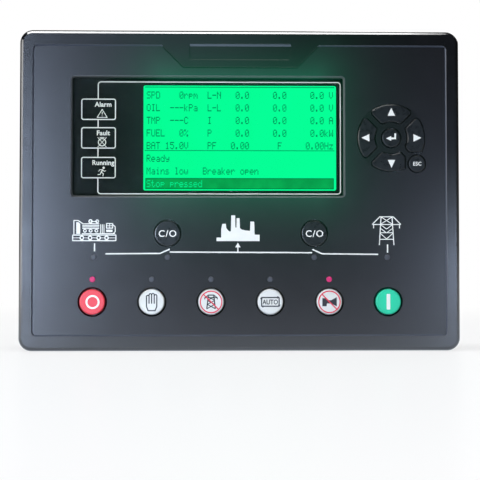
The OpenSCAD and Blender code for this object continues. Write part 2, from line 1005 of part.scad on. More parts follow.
// Rows of vent slots in the back
module vents() {
    for (s = [-1, 1], i = [0:10])
        translate([s * 52 + (i - 5) * 6, 0, 0])
            layer(-case_d - 1, -case_d + case_wall + 1)
                plate(2.4, 44, 1.19);
}

// Case behind the panel with its ledges, vents, screw tubes and clip slots
module rear_case() {
    color("#303338")
        upright()
            difference() {
                union() {
                    difference() {
                        case_outside();
                        case_inside();
                    }
                    at_case_screws()
                        rod(5.4, -ledge_d + eps, boss_end_z);
                    at_posts()
                        rod(3, -ledge_d + 1, main_back_z);
                }
                at_case_screws() {
                    rod(case_screw_head_r + 0.6, -ledge_d - 1, boss_end_z - 2.4);
                    rod(case_screw_r + 0.2, -ledge_d, boss_end_z + 1);
                }
                at_posts()
                    rod(screw_r - 0.1, main_back_z - 5, main_back_z + 1);
                vents();
                for (i = [0:3])
                    at_block(i)
                        block(block_l(i) + 2 * hole_gap, header_h + 2 * hole_gap, -ledge_d - 1,
                            -ledge_d + case_wall + 1);
                translate([usb_x, usb_y, 0])
                    block(usb_w + 2 * hole_gap, usb_h + 2 * hole_gap, -ledge_d - 1,
                        -ledge_d + case_wall + 1);
                at_clips()
                    translate([-case_wall / 2, 0, 0])
                        block(case_wall + 1, clip_w + 2 * hole_gap, clip_z - clip_slot / 2,
                            clip_z + clip_slot / 2);
            }
}

module case_screws() {
    color("#b9bcc0")
        upright()
            at_case_screws()
                difference() {
                    union() {
                        rod(case_screw_head_r, boss_end_z - 4.8, boss_end_z - 2.4);
                        rod(case_screw_r - 0.1, boss_end_z - 2.4 - eps, boss_end_z + 10);
                    }
                    block(case_screw_head_r, 0.8, boss_end_z - 6, boss_end_z - 3.6);
                    block(0.8, case_screw_head_r, boss_end_z - 6, boss_end_z - 3.6);
                }
}

// Centres of the terminal blocks, with +y towards the case's outside
module at_block(i) {
    translate([block_x[i], block_side[i] * row_y, 0])
        scale_side(block_side[i])
            children();
}

module scale_side(s) {
    if (s > 0)
        children();
    else
        mirror([0, 1, 0])
            children();
}

// Open socket with one pin for each way
module header(i) {
    l = block_l(i);
    color("#2c8a4b")
        upright()
            at_block(i) {
                difference() {
                    block(l, header_h, header_end_z, main_back_z);
                    block(l - 2 * header_wall, header_h - 2 * header_wall, header_end_z - 1,
                        main_back_z - 1.6);
                }
                for (k = [0:ways[i] - 1])
                    translate([(k - (ways[i] - 1) / 2) * way_pitch, 0, 0])
                        block(1, 1, header_end_z + 2, main_back_z - 1);
            }
}

module header_top_left() {
    header(0);
}

module header_top_right() {
    header(1);
}

module header_bottom_left() {
    header(2);
}

module header_bottom_right() {
    header(3);
}

// Plug with a wire entry at the back and a screw well on the outside of each way
module plug(i) {
    l = block_l(i);
    color("#2f9a53")
        upright()
            at_block(i)
                difference() {
                    union() {
                        block(l, plug_h, plug_back_z, header_end_z);
                        block(l - 2 * header_wall - 2 * hole_gap, header_h - 2 * header_wall - 2 * hole_gap,
                            header_end_z - eps, main_back_z - 2.4);
                        translate([0, (plug_h + header_h) / 4 + hole_gap / 2, 0])
                            block(l, (plug_h - header_h) / 2 - hole_gap, header_end_z - 1,
                                header_end_z + 1);
                    }
                    for (k = [0:ways[i] - 1])
                        translate([(k - (ways[i] - 1) / 2) * way_pitch, 0, 0])
                            plug_way();
                    for (k = [1:ways[i] - 1])
                        translate([(k - ways[i] / 2) * way_pitch, 0, 0])
                            block(0.5, plug_h + 1, plug_back_z - 1, plug_back_z + 0.5);
                }
}

// What one way takes out of its plug: pin slot, wire entry and screw well
module plug_way() {
    block(1.6, 1.6, header_end_z - 3, main_back_z);
    translate([0, -1.6, 0])
        block(3.7, 3.9, plug_back_z - 1, plug_back_z + 2.5);
    translate([0, plug_h / 2 + 1, (plug_back_z + header_end_z) / 2 - 1])
        rotate([90, 0, 0])
            cylinder(r = clamp_r + 0.25, h = 3.4);
}

module plug_top_left() {
    plug(0);
}

module plug_top_right() {
    plug(1);
}

module plug_bottom_left() {
    plug(2);
}

module plug_bottom_right() {
    plug(3);
}

// Slotted clamp screws in the wells of all plugs
module clamp_screws() {
    color("#b9bcc0")
        upright()
            for (i = [0:3])
                at_block(i)
                    for (k = [0:ways[i] - 1])
                        translate([(k - (ways[i] - 1) / 2) * way_pitch, plug_h / 2 - 0.6,
                            (plug_back_z + header_end_z) / 2 - 1])
                            rotate([90, 0, 0])
                                difference() {
                                    cylinder(r = clamp_r, h = 1.8);
                                    block(2 * clamp_r + 1, 0.6, -1, 0.6);
                                }
}

// Folded metal shell of the service socket
module usb_shell() {
    color("#c4c7ca")
        upright()
            translate([usb_x, usb_y, 0])
                difference() {
                    block(usb_w, usb_h, -ledge_d - 3, main_back_z);
                    block(usb_w - 2 * usb_wall, usb_h - 2 * usb_wall, -ledge_d - 4, main_back_z - 0.5);
                }
}

// Plastic inside of the service socket, with its tongue
module usb_insert() {
    color("#e8e8e4")
        upright()
            translate([usb_x, usb_y, 0])
                difference() {
                    block(usb_w - 2 * usb_wall - 0.1, usb_h - 2 * usb_wall - 0.1, -ledge_d - 2.4,
                        main_back_z - 0.5);
                    difference() {
                        block(8.5, 7.8, -ledge_d - 4, main_back_z - 2.5);
                        block(5.6, 3.2, -ledge_d - 1.2, main_back_z - 2);
                    }
                }
}

// Places of the fixing clips, with +x away from the case
module at_clips() {
    for (x = [-1, 1], y = [-1, 1])
        translate([x * clip_x, y * clip_y, 0])
            rotate(x > 0 ? 0 : 180)
                children();
}

// Clips hooked into the sides of the case
module fixing_clips() {
    color("#26282c")
        upright()
            at_clips()
                difference() {
                    union() {
                        translate([5.7, 0, 0])
                            block(11, clip_w, clip_z - 7, clip_z + 5);
                        translate([-1.6, 0, 0])
                            block(4, clip_w, clip_z - clip_slot / 2 + 0.2, clip_z + clip_slot / 2);
                        translate([-case_wall - 0.8, 0, 0])
                            block(1.2, clip_w, clip_z - clip_slot / 2 + 0.2, clip_z + clip_slot / 2);
                    }
                    translate([6, 0, 0])
                        rod(2.1, clip_z - 8, clip_z + 6);
                }
}

// Screws of the clips, with a foot against the panel and a slotted head behind
module clip_screws() {
    color("#b9bcc0")
        upright()
            at_clips()
                translate([6, 0, 0])
                    difference() {
                        union() {
                            rod(2.05, -panel_t - 19, -panel_t - 1);
                            rod(3.2, -panel_t - 1.2, -panel_t);
                            rod(4, -panel_t - 23, -panel_t - 18);
                        }
                        block(9, 0.9, -panel_t - 24, -panel_t - 22);
                    }
}

// Round key: straight body with a rounded front edge
module round_key(r) {
    translate([0, 0, dome_z])
        rotate_extrude()
            polygon(concat([[0, 0], [r, 0]],
                arc(r - key_edge, key_z - dome_z - key_edge, key_edge, 0, 90, 4), [[0, key_z - dome_z]]));
}

// Long bar with a bevelled front edge: it fills y > 0, with the bevel at y = 0
module bevel_bar(h) {
    rotate([90, 0, 90])
        linear_extrude(80)
            polygon([[0, 0], [60, 0], [60, h], [arrow_edge, h], [0, h - arrow_edge]]);
}

// Arrow key: a ring with bevelled edges, cut to a wedge with bevelled sides and rounded corners
module arrow_key(i) {
    h = key_z - dome_z;
    translate([0, 0, dome_z])
        difference() {
            intersection() {
                rotate_extrude()
                    polygon([[arrow_r_in, 0], [arrow_r, 0], [arrow_r, h - arrow_edge],
                        [arrow_r - arrow_edge, h], [arrow_r_in + arrow_edge, h],
                        [arrow_r_in, h - arrow_edge]]);
                for_side(i, 1)
                    bevel_bar(h);
                for_side(i, -1)
                    bevel_bar(h);
                arrow_flat(i, h);
            }
            layer(-1, h + 1)
                corner_cuts(i, 0);
        }
}

// Lays a bar along one straight side of an arrow key
module for_side(i, s) {
    rotate(90 * i)
        mirror([s > 0 ? 0 : 1, 0, 0])
            rotate(45)
                translate([-40, arrow_gap / 2, 0])
                    children();
}

// Flat side next to the escape key, or a plain block where there is none
module arrow_flat(i, h) {
    if (i == 2)
        translate([escape_flat, -40, 0])
            rotate(90)
                bevel_bar(h);
    else if (i == 3)
        translate([-40, -escape_flat, 0])
            bevel_bar(h);
    else
        block(60, 60, -1, h + 1);
}

module mode_key(i, paint) {
    color(paint)
        upright()
            at_mode(i)
                round_key(mode_r);
}

module stop_key() {
    mode_key(0, "#d8344e");
}

module manual_key() {
    mode_key(1, "#e4e8ec");
}

module test_key() {
    mode_key(2, "#e4e8ec");
}

module auto_key() {
    mode_key(3, "#e4e8ec");
}

module mute_key() {
    mode_key(4, "#e4e8ec");
}

module start_key() {
    mode_key(5, "#36c59d");
}

module generator_breaker_key() {
    color("#2b3638")
        upright()
            at_breaker(-1)
                round_key(breaker_r);
}

module mains_breaker_key() {
    color("#2b3638")
        upright()
            at_breaker(1)
                round_key(breaker_r);
}

module one_arrow_key(i) {
    color("#2b3638")
        upright()
            at_arrows()
                arrow_key(i);
}

module up_key() {
    one_arrow_key(0);
}

module left_key() {
    one_arrow_key(1);
}

module down_key() {
    one_arrow_key(2);
}

module right_key() {
    one_arrow_key(3);
}

module enter_key() {
    color("#2b3638")
        upright()
            at_arrows()
                round_key(enter_r);
}

module escape_key() {
    color("#2b3638")
        upright()
            at_escape()
                round_key(escape_r);
}

front_bezel();
front_overlay();
panel_gasket();
display_window();
lcd_seal();
lcd_frame();
lcd_glass();
lcd_backlight();
lcd_board();
lcd_screws();
status_light_box();
lamps_lit();
lamps_off();
indicator_leds();
keymat();
keypad_board();
keypad_screws();
keypad_link();
lcd_link();
main_board();
main_board_screws();
processor();
relays();
current_transformers();
capacitors();
clock_cell();
rear_case();
case_screws();
header_top_left();
header_top_right();
header_bottom_left();
header_bottom_right();
plug_top_left();
plug_top_right();
plug_bottom_left();
plug_bottom_right();
clamp_screws();
usb_shell();
usb_insert();
fixing_clips();
clip_screws();
stop_key();
manual_key();
test_key();
auto_key();
mute_key();
start_key();
generator_breaker_key();
mains_breaker_key();
up_key();
down_key();
left_key();
right_key();
enter_key();
escape_key();
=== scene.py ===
# Genset controller: finishes, printed legends, lit display and studio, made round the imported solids.
import math
import re

import bmesh
import bpy
from bpy.props import FloatProperty, FloatVectorProperty, PointerProperty
from mathutils import Matrix, Vector


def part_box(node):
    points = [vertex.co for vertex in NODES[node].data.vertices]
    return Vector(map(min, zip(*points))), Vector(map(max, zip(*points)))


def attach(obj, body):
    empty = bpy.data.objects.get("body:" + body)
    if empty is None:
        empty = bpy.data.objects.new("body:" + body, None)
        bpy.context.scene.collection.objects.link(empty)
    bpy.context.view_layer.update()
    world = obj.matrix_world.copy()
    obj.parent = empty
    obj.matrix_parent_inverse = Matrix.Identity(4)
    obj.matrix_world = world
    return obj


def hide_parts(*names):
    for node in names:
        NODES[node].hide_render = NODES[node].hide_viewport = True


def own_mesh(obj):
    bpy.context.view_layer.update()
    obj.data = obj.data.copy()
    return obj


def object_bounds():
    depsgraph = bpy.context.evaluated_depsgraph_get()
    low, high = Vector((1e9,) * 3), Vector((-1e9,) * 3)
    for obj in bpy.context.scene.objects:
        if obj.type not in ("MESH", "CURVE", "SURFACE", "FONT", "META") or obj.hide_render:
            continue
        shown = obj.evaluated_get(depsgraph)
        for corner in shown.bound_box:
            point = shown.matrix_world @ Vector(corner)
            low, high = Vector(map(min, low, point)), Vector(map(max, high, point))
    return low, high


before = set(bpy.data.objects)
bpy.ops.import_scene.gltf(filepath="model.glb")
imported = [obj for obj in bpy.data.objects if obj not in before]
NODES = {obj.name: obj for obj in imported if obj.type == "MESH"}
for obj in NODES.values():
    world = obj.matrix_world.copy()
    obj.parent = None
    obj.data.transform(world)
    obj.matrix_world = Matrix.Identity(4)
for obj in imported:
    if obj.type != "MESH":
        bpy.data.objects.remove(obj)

bl_info = {
    "name": "Genset controller",
    "version": (1, 0, 0),
    "blender": (4, 5, 0),
    "location": "View3D > Sidebar > Controller",
    "description": "Finishes, legends, display and studio of a panel-mounted genset controller",
    "category": "Object",
}

CAD_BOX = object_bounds()
MM = 0.001
# Drawings are made in millimetres as seen from the front, and then stood up to face -Y
UPRIGHT = Matrix.Scale(MM, 4) @ Matrix.Rotation(math.radians(90), 4, "X")
# The same for a drawing that is read from behind
FROM_BEHIND = Matrix.Rotation(math.radians(180), 4, "Y")
# Height of a capital letter as a share of the font's size
CAP_HEIGHT = 0.727
# Millimetres within which the points of a drawing are merged
WELD = 0.0004
# Shapes that follow each other in a drawing end on different levels, in millimetres
LAYER_STEP = 0.002
LAYERS = 7
# Print starts a little below its surface, in millimetres
PRINT_SINK = 0.02
WHITE = (1.0, 1.0, 1.0, 1.0)

MODE_KEYS = ("stop_key", "manual_key", "test_key", "auto_key", "mute_key", "start_key")
BREAKER_KEYS = ("generator_breaker_key", "mains_breaker_key")
ARROW_KEYS = ("up_key", "left_key", "down_key", "right_key")
SMALL_KEYS = ("enter_key", "escape_key")
KEYS = MODE_KEYS + BREAKER_KEYS + ARROW_KEYS + SMALL_KEYS


def tone(red, green, blue):
    """Linear colour of a display colour that is given from 0 to 255."""
    parts = [part / 255 for part in (red, green, blue)]
    return tuple(part / 12.92 if part < 0.04 else ((part + 0.055) / 1.055) ** 2.4 for part in parts)


def front_level(node):
    """Level of a node's front face, in millimetres towards the viewer."""
    return -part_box(node)[0].y / MM


def back_level(node):
    """Level of a node's back face, in millimetres towards the viewer."""
    return -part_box(node)[1].y / MM


def middle(node):
    """Centre of a node as seen from the front, in millimetres."""
    low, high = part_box(node)
    return (low.x + high.x) / 2 / MM, (low.z + high.z) / 2 / MM


def size_of(node):
    """Width and height of a node as seen from the front, in millimetres."""
    low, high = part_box(node)
    return (high.x - low.x) / MM, (high.z - low.z) / MM


def key_body(node):
    """Name of the body that a key moves with."""
    return "key_" + node.removesuffix("_key")


def key_slot(node):
    """Name of a key's material slot, and of the colour that it takes."""
    if node in MODE_KEYS:
        return {"stop_key": "key_red", "start_key": "key_green"}.get(node, "key_white")
    return "key_dark"


def length(name, description, default):
    """Property for a length in metres."""
    return FloatProperty(name=name, description=description, default=default, min=0.0, unit="LENGTH", precision=5)


def shade(name, description, default):
    """Property for a colour."""
    return FloatVectorProperty(name=name, description=description, default=default, size=3, min=0.0, max=1.0,
                               subtype="COLOR")


def watts(name, description, default):
    """Property for the power of a studio lamp."""
    return FloatProperty(name=name, description=description, default=default, min=0.0, unit="POWER")


class ControllerSizes(bpy.types.PropertyGroup):
    """Sizes of the print, the surface grain and the display's glow."""

    print_height: length("Print height", "Height of screen print above its surface", 0.00003)
    mimic_line: length("Mimic line", "Width of the supply line across the front", 0.00072)
    icon_line: length("Icon line", "Width of the lines in the plant icons", 0.0005)
    frame_line: length("Frame line", "Width of the frame lines on the pane", 0.00056)
    legend_line: length("Legend line", "Width of the lines in the key legends", 0.00062)
    dot_share: FloatProperty(name="Dot share", description="Share of a display dot's pitch that is dark", default=0.9,
                             min=0.3, max=1.0, subtype="FACTOR")
    number_height: length("Number height", "Height of the terminal numbers", 0.0021)
    mould_grain: length("Mould grain", "Size of the grain on moulded plastic", 0.00022)
    glow_reach: length("Glow reach", "Distance at which the display's glow has faded to a third", 0.0135)


class ControllerColours(bpy.types.PropertyGroup):
    """Colours of the plastics, print, keys, display and hardware."""

    bezel: shade("Bezel", "Moulded front", tone(8, 8, 10))
    film: shade("Film", "Printed film on the front", tone(17, 16, 19))
    ink: shade("Ink", "White print on film and pane", tone(242, 240, 228))
    pane: shade("Pane", "Tint of the window pane", tone(236, 242, 240))
    mask: shade("Mask", "Dark print behind the pane", tone(16, 20, 18))
    screen: shade("Screen", "Lit display", tone(6, 255, 150))
    screen_dot: shade("Display dot", "Dark display dot", tone(3, 128, 68))
    screen_bar: shade("Display bar", "Inverted line of the display", tone(10, 172, 84))
    # Colour of the painted glow that surfaces round the display give off
    glow: shade("Glow", "Light of the display on the front", tone(30, 255, 186))
    key_red: shade("Red key", "Stop key", tone(240, 62, 72))
    key_white: shade("White key", "Mode keys", tone(226, 224, 213))
    key_green: shade("Green key", "Start key", tone(32, 206, 156))
    key_dark: shade("Dark key", "Arrow, breaker, enter and escape keys", tone(15, 19, 20))
    legend_dark: shade("Dark legend", "Dark print on white keys", tone(30, 32, 36))
    legend_red: shade("Red legend", "Red print on white keys", tone(222, 52, 72))
    lamp_lit: shade("Lit lamp", "Indicator that is lit", tone(190, 38, 98))
    lamp_off: shade("Unlit lamp", "Indicator that is not lit", tone(68, 71, 76))
    case: shade("Case", "Case behind the panel", tone(40, 42, 46))
    clip: shade("Clip", "Fixing clips", tone(30, 31, 34))
    terminal: shade("Terminal", "Terminal plugs and headers", tone(38, 140, 78))
    number: shade("Number", "Terminal numbers", tone(205, 208, 210))
    board: shade("Board", "Circuit boards", tone(22, 92, 48))
    zinc: shade("Zinc", "Plated screws", tone(186, 188, 190))
    steel: shade("Steel", "Bright sheet steel", tone(206, 208, 210))
    foam: shade("Foam", "Gasket and seal", tone(24, 25, 27))
    silicone: shade("Silicone", "Key mat", tone(176, 178, 182))
    floor: shade("Floor", "Studio floor", tone(236, 238, 240))


class ControllerStudio(bpy.types.PropertyGroup):
    """Strengths and tint of the studio's light."""

    left_card: watts("Left card", "Tall soft lamp left of the camera", 7.2)
    low_card: watts("Low card", "Narrow soft lamp along the floor below the left card", 3.6)
    upper_card: watts("Upper card", "Faint soft lamp above the camera", 0.05)
    right_card: watts("Right card", "Low narrow soft lamp right of the camera", 0.55)
    side_card: watts("Side card", "Soft lamp beside the left edge", 3.5)
    top_card: watts("Top card", "Soft lamp above", 6.0)
    front_card: watts("Front card", "Wide soft lamp high in front", 5.0)
    back_card: watts("Back card", "Soft lamp behind the object", 4.0)
    cool: shade("Cool light", "Tint of the cards beside the camera", (0.62, 0.75, 1.0))
    dim: FloatProperty(name="Dim front", description="What gloss shows of the room in front", default=0.01, min=0.0,
                       max=1.0, subtype="FACTOR")
    ambient: FloatProperty(name="Ambient", description="Even light from all round", default=0.25, min=0.0, max=1.0,
                           subtype="FACTOR")


class Drawing:
    """Flat shapes between two levels, drawn in millimetres: x right, y up, z towards the viewer."""

    def __init__(self, low, high):
        self.mesh = bmesh.new()
        self.low = low
        self.high = high
        self.count = 0

    def top(self):
        """Top level of the next shape; neighbours differ a little, so that crossing shapes never share a face."""
        self.count += 1
        return self.high + self.count % LAYERS * LAYER_STEP

    def absorb(self, part):
        """Adds a finished part and frees it."""
        holder = bpy.data.meshes.new("part")
        part.to_mesh(holder)
        part.free()
        self.mesh.from_mesh(holder)
        bpy.data.meshes.remove(holder)

    def thicken(self, part):
        """Gives the flat faces of a part their thickness and adds it."""
        raised = bmesh.ops.extrude_face_region(part, geom=part.faces[:])
        verts = [item for item in raised["geom"] if isinstance(item, bmesh.types.BMVert)]
        bmesh.ops.translate(part, vec=(0, 0, self.top() - self.low), verts=verts)
        self.absorb(part)

    def bar(self, start, end, width):
        """Straight stroke between two points."""
        run = Vector(end) - Vector(start)
        centre = (Vector(start) + Vector(end)) / 2
        top = self.top()
        place = Matrix.Translation((centre.x, centre.y, (self.low + top) / 2))
        turn = Matrix.Rotation(math.atan2(run.y, run.x), 4, "Z")
        bmesh.ops.create_cube(self.mesh, size=1.0,
                              matrix=place @ turn @ Matrix.Diagonal((run.length, width, top - self.low, 1)))

    def bars(self, width, *runs):
        """Straight strokes of one width, each given by its two ends in one row."""
        for run in runs:
            self.bar(run[:2], run[2:], width)

    def disc(self, centre, radius, segments):
        """Filled circle."""
        top = self.top()
        bmesh.ops.create_cone(self.mesh, cap_ends=True, segments=segments, radius1=radius, radius2=radius,
                              depth=top - self.low,
                              matrix=Matrix.Translation((centre[0], centre[1], (self.low + top) / 2)))

    def path(self, points, width, closed=False):
        """Stroke through several points, with round joints."""
        ends = list(points) + [points[0]] if closed else list(points)
        for start, end in zip(ends, ends[1:]):
            self.bar(start, end, width)
        for joint in ends[:-1] if closed else ends[1:-1]:
            self.disc(joint, width / 2, 12)

    def slab(self, points):
        """Filled outline."""
        part = bmesh.new()
        part.faces.new([part.verts.new((x, y, self.low)) for x, y in points])
        self.thicken(part)

    def ring(self, centre, inner, outer, start=0.0, turn=360.0, steps=48):
        """Ring, or a part of one that starts at an angle and runs through a turn."""
        part = bmesh.new()
        top = self.top()
        corners = [part.verts.new((x, 0, z)) for x, z in
                   ((inner, self.low), (outer, self.low), (outer, top), (inner, top))]
        sides = [part.edges.new((corners[i], corners[(i + 1) % 4])) for i in range(4)]
        bmesh.ops.spin(part, geom=corners + sides, cent=(0, 0, 0), axis=(0, 0, 1), angle=math.radians(turn),
                       steps=steps, use_merge=turn >= 360.0, use_duplicate=False)
        if turn < 360.0:
            bmesh.ops.holes_fill(part, edges=[edge for edge in part.edges if edge.is_boundary], sides=4)
        bmesh.ops.transform(part, verts=part.verts, matrix=Matrix.Translation((centre[0], centre[1], 0))
                            @ Matrix.Rotation(math.radians(start), 4, "Z"))
        self.absorb(part)

    def rounded(self, centre, width, height, corner):
        """Flat rectangle with round corners, as a part that has no thickness yet."""
        part = bmesh.new()
        spots = [(centre[0] + x * width / 2, centre[1] + y * height / 2, self.low)
                 for x, y in ((-1, -1), (1, -1), (1, 1), (-1, 1))]
        face = part.faces.new([part.verts.new(spot) for spot in spots])
        bmesh.ops.bevel(part, geom=face.verts[:], offset=corner, offset_type="OFFSET", segments=6, profile=0.5,
                        affect="VERTICES", material=-1)
        return part

    def plate(self, centre, width, height, corner):
        """Filled rectangle with round corners."""
        self.thicken(self.rounded(centre, width, height, corner))

    def outline(self, centre, width, height, line, corner):
        """Frame of one line width with round corners, inside the given size."""
        part = self.rounded(centre, width, height, corner)
        face = part.faces[:][0]
        bmesh.ops.inset_region(part, faces=[face], thickness=line, use_even_offset=True, use_boundary=True)
        bmesh.ops.delete(part, geom=[face], context="FACES")
        self.thicken(part)

    def words(self, text, centre, height, bold, narrow, spread=1.0):
        """Lettering with capitals of the given height, centred on a point."""
        top = self.top()
        letters = bpy.data.curves.new("letters", "FONT")
        letters.body = text
        letters.align_x = "CENTER"
        letters.align_y = "BOTTOM_BASELINE"
        letters.size = height / CAP_HEIGHT
        letters.offset = bold
        letters.space_character = spread
        letters.resolution_u = 4
        letters.extrude = (top - self.low) / 2
        holder = bpy.data.objects.new("letters", letters)
        bpy.context.scene.collection.objects.link(holder)
        bpy.context.view_layer.update()
        view = bpy.context.evaluated_depsgraph_get()
        flat = bpy.data.meshes.new_from_object(holder.evaluated_get(view))
        flat.transform(Matrix.Translation((centre[0], centre[1] - height / 2, (self.low + top) / 2))
                       @ Matrix.Diagonal((narrow, 1, 1, 1)))
        self.mesh.from_mesh(flat)
        bpy.data.objects.remove(holder)
        bpy.data.curves.remove(letters)
        bpy.data.meshes.remove(flat)

    def piece(self, name, finish, body, slot, turn=Matrix.Identity(4)):
        """Turns the drawing into a piece that rides on a body."""
        bmesh.ops.remove_doubles(self.mesh, verts=self.mesh.verts, dist=WELD)
        bmesh.ops.recalc_face_normals(self.mesh, faces=self.mesh.faces)
        bmesh.ops.transform(self.mesh, matrix=UPRIGHT @ turn, verts=self.mesh.verts)
        make_piece(name, self.mesh, finish, body)


def make_piece(name, shape, finish, body):
    """Turns a mesh into a piece that rides on a body."""
    data = bpy.data.meshes.new(name)
    shape.to_mesh(data)
    shape.free()
    data.materials.append(finish)
    made = bpy.data.objects.new(name, data)
    bpy.context.scene.collection.objects.link(made)
    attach(made, body)
    return made


def print_sheet(level, sink=PRINT_SINK, lift=0.0):
    """Drawing for screen print on a surface at a level in millimetres."""
    return Drawing(level - sink, level + lift + bpy.context.scene.controller_sizes.print_height / MM)


class Graph:
    """A node tree that is built up node by node."""

    def __init__(self, tree):
        self.nodes = tree.nodes
        self.links = tree.links

    def feed(self, node, inputs):
        """Sets or links the inputs of a node."""
        for name, value in inputs.items():
            if isinstance(value, bpy.types.NodeSocket):
                self.links.new(value, node.inputs[name])
            else:
                node.inputs[name].default_value = value

    def add(self, kind, inputs=None, output=0, **settings):
        """Adds a node and gives one of its outputs."""
        node = self.nodes.new("ShaderNode" + kind)
        for name, value in settings.items():
            setattr(node, name, value)
        self.feed(node, inputs or {})
        return node.outputs[output]

    def span(self, value, low, high, start=0.3, end=0.7, **settings):
        """Moves a value from one range to another."""
        return self.add("MapRange", {"Value": value, "From Min": start, "From Max": end, "To Min": low,
                                     "To Max": high}, **settings)

    def sum(self, operation, *values):
        """Works out one value from others."""
        return self.add("Math", dict(enumerate(values)), operation=operation)

    def vector(self, operation, *values, output=0):
        """Works out a vector, or its length, from others."""
        return self.add("VectorMath", dict(enumerate(values)), output, operation=operation)

    def mix(self, share, first, second):
        """Blends two colours."""
        return self.add("Mix", {0: share, 6: first, 7: second}, 2, data_type="RGBA")

    def rays(self):
        """Whether a ray comes from the camera, and whether from a mirror or through glass."""
        path = self.nodes.new("ShaderNodeLightPath").outputs
        return path["Is Camera Ray"], self.sum("MAXIMUM", path["Is Glossy Ray"], path["Is Transmission Ray"])


class Finish(Graph):
    """A node material that is built up in layers on object coordinates."""

    def __init__(self, name, colour, roughness, sockets=None):
        self.material = bpy.data.materials.new(name)
        self.material.use_nodes = True
        super().__init__(self.material.node_tree)
        self.shader = self.nodes["Principled BSDF"]
        self.colour = (*colour, 1.0)
        self.feed(self.shader, {"Base Color": self.colour, "Roughness": roughness, **(sockets or {})})
        self.spot = self.add("TexCoord", output="Object")

    def cloud(self, size, detail=2.0, stretch=None):
        """Soft random value with features of a size in millimetres."""
        spot = self.add("Mapping", {"Vector": self.spot, "Scale": stretch}) if stretch else self.spot
        return self.add("TexNoise", {"Vector": spot, "Scale": 1 / (size * MM), "Detail": detail})

    def tint(self, mask, other):
        """Blends the base colour towards another one where the mask is strong."""
        self.colour = self.mix(mask, self.colour, (*other, 1.0))
        self.feed(self.shader, {"Base Color": self.colour})

    def mottle(self, size, amount):
        """Darkens and lightens the base colour in soft patches."""
        base = self.colour[:3]
        for part_size, level in ((size, 0.55), (size * 0.31, 1.5)):
            self.tint(self.span(self.cloud(part_size, 3.0), 0.0, amount),
                      [min(part * level, 1.0) for part in base])

    def roughen(self, size, low, high):
        """Lets the roughness wander between two values."""
        self.feed(self.shader, {"Roughness": self.span(self.cloud(size, 3.0), low, high)})

    def bump(self, height, depth, strength=0.6):
        """Raises the surface by a depth in millimetres."""
        normal = self.add("Bump", {"Height": height, "Distance": depth * MM, "Strength": strength})
        self.feed(self.shader, {"Normal": normal})

    def shine(self, colour, size, spread):
        """Lets the surface shine in a colour that wanders a little."""
        dim, bright = ((*[min(part * level, 1.0) for part in colour], 1.0) for level in (1 - spread, 1 + spread))
        self.feed(self.shader, {"Emission Color": self.mix(self.span(self.cloud(size), 0.0, 1.0), dim, bright)})

    def distance(self, centre, half):
        """Distance in metres from a rectangle on the front, given in millimetres."""
        moved = self.vector("SUBTRACT", self.spot, (centre[0] * MM, 0, centre[1] * MM))
        past = self.vector("SUBTRACT", self.vector("ABSOLUTE", moved), (half[0] * MM, 1, half[1] * MM))
        return self.vector("LENGTH", self.vector("MAXIMUM", past, (0, 0, 0)), output="Value")


def moulded(name, colour, roughness, depth, sockets=None, gloss=None):
    """Moulded plastic: faint patches, an even spark-eroded grain and slightly uneven gloss."""
    grain = bpy.context.scene.controller_sizes.mould_grain / MM
    finish = Finish(name, colour, roughness, sockets)
    finish.mottle(24.0, 0.22)
    finish.roughen(*(gloss or (2.4, roughness - 0.05, roughness + 0.06)))
    finish.bump(finish.cloud(grain, 3.0), depth)
    return finish


def plated(name, colour, roughness):
    """Plated or bright metal with fine drawn lines and dull patches."""
    finish = Finish(name, colour, roughness, {"Metallic": 1.0})
    finish.mottle(3.0, 0.3)
    finish.roughen(0.8, roughness - 0.08, roughness + 0.14)
    finish.bump(finish.cloud(0.5, stretch=(1.0, 12.0, 1.0)), 0.006)
    return finish


def inked(name, colour):
    """Screen print: an almost even coat with the faint mesh of the screen."""
    finish = Finish(name, colour, 0.5)
    finish.mottle(5.0, 0.08)
    finish.roughen(0.6, 0.44, 0.58)
    finish.bump(finish.cloud(0.09, 1.0), 0.004)
    return finish


def add_glow(finish, share):
    """Paints the display's light on a surface near it as a glow that the surface gives off, falling off with distance.
    """
    scene = bpy.context.scene
    reach = finish.distance(GLOW_CENTRE, GLOW_HALF)
    faded = finish.sum("EXPONENT", finish.sum("MULTIPLY", reach, -1.0 / scene.controller_sizes.glow_reach))
    finish.feed(finish.shader, {"Emission Color": (*scene.controller_colours.glow, 1.0),
                                "Emission Strength": finish.sum("MULTIPLY", faded, share)})


def dress(finish, *nodes):
    """Puts a finish on the named CAD nodes."""
    for node in nodes:
        for holder in NODES[node].material_slots:
            holder.material = finish.material


# Zones of the front in millimetres: half size of the row of mode keys, whose wells get painted shade, rim that counts
# with it, width of the groove beside the film, which gets painted light, rim of the window's seat, dark rim round the
# arrow pad
ROW_HALF = (200.0, 9.0)
ROW_RIM = 0.5
GROOVE = 1.3
SEAT_RIM = 1.3
PAD_RIM = 0.7
# Least distance from a zone that counts, and least depths of the wells and of the groove, in millimetres
TOUCH = 0.01
WELL_DEPTH = 0.3
GROOVE_DEPTH = 0.06
SEAT_ROUGHNESS = 0.6
# Lit field of the display: centre, size and margin, in millimetres
SCREEN_CENTRE = middle("lcd_glass")
SCREEN = (105.7, 57.6)
SCREEN_MARGIN = 1.3
# Field that the display's glow spreads from: centre and half size, in millimetres
GLOW_CENTRE = (SCREEN_CENTRE[0], SCREEN_CENTRE[1] + 2.7)
GLOW_HALF = (SCREEN[0] / 2 - 12.0, SCREEN[1] / 2)
# Print on the film and the pane is drawn from this point
PRINT_PLACE = Matrix.Translation((-0.5, -0.4, 0))
# Letters and rows of the display, dots in a letter, and the space between letters and rows in dots
DISPLAY_COLUMNS = 40
DISPLAY_ROWS = 8
DOT_COLUMNS = 5
DOT_ROWS = 7
DOT_GAPS = (0.9, 5.5)


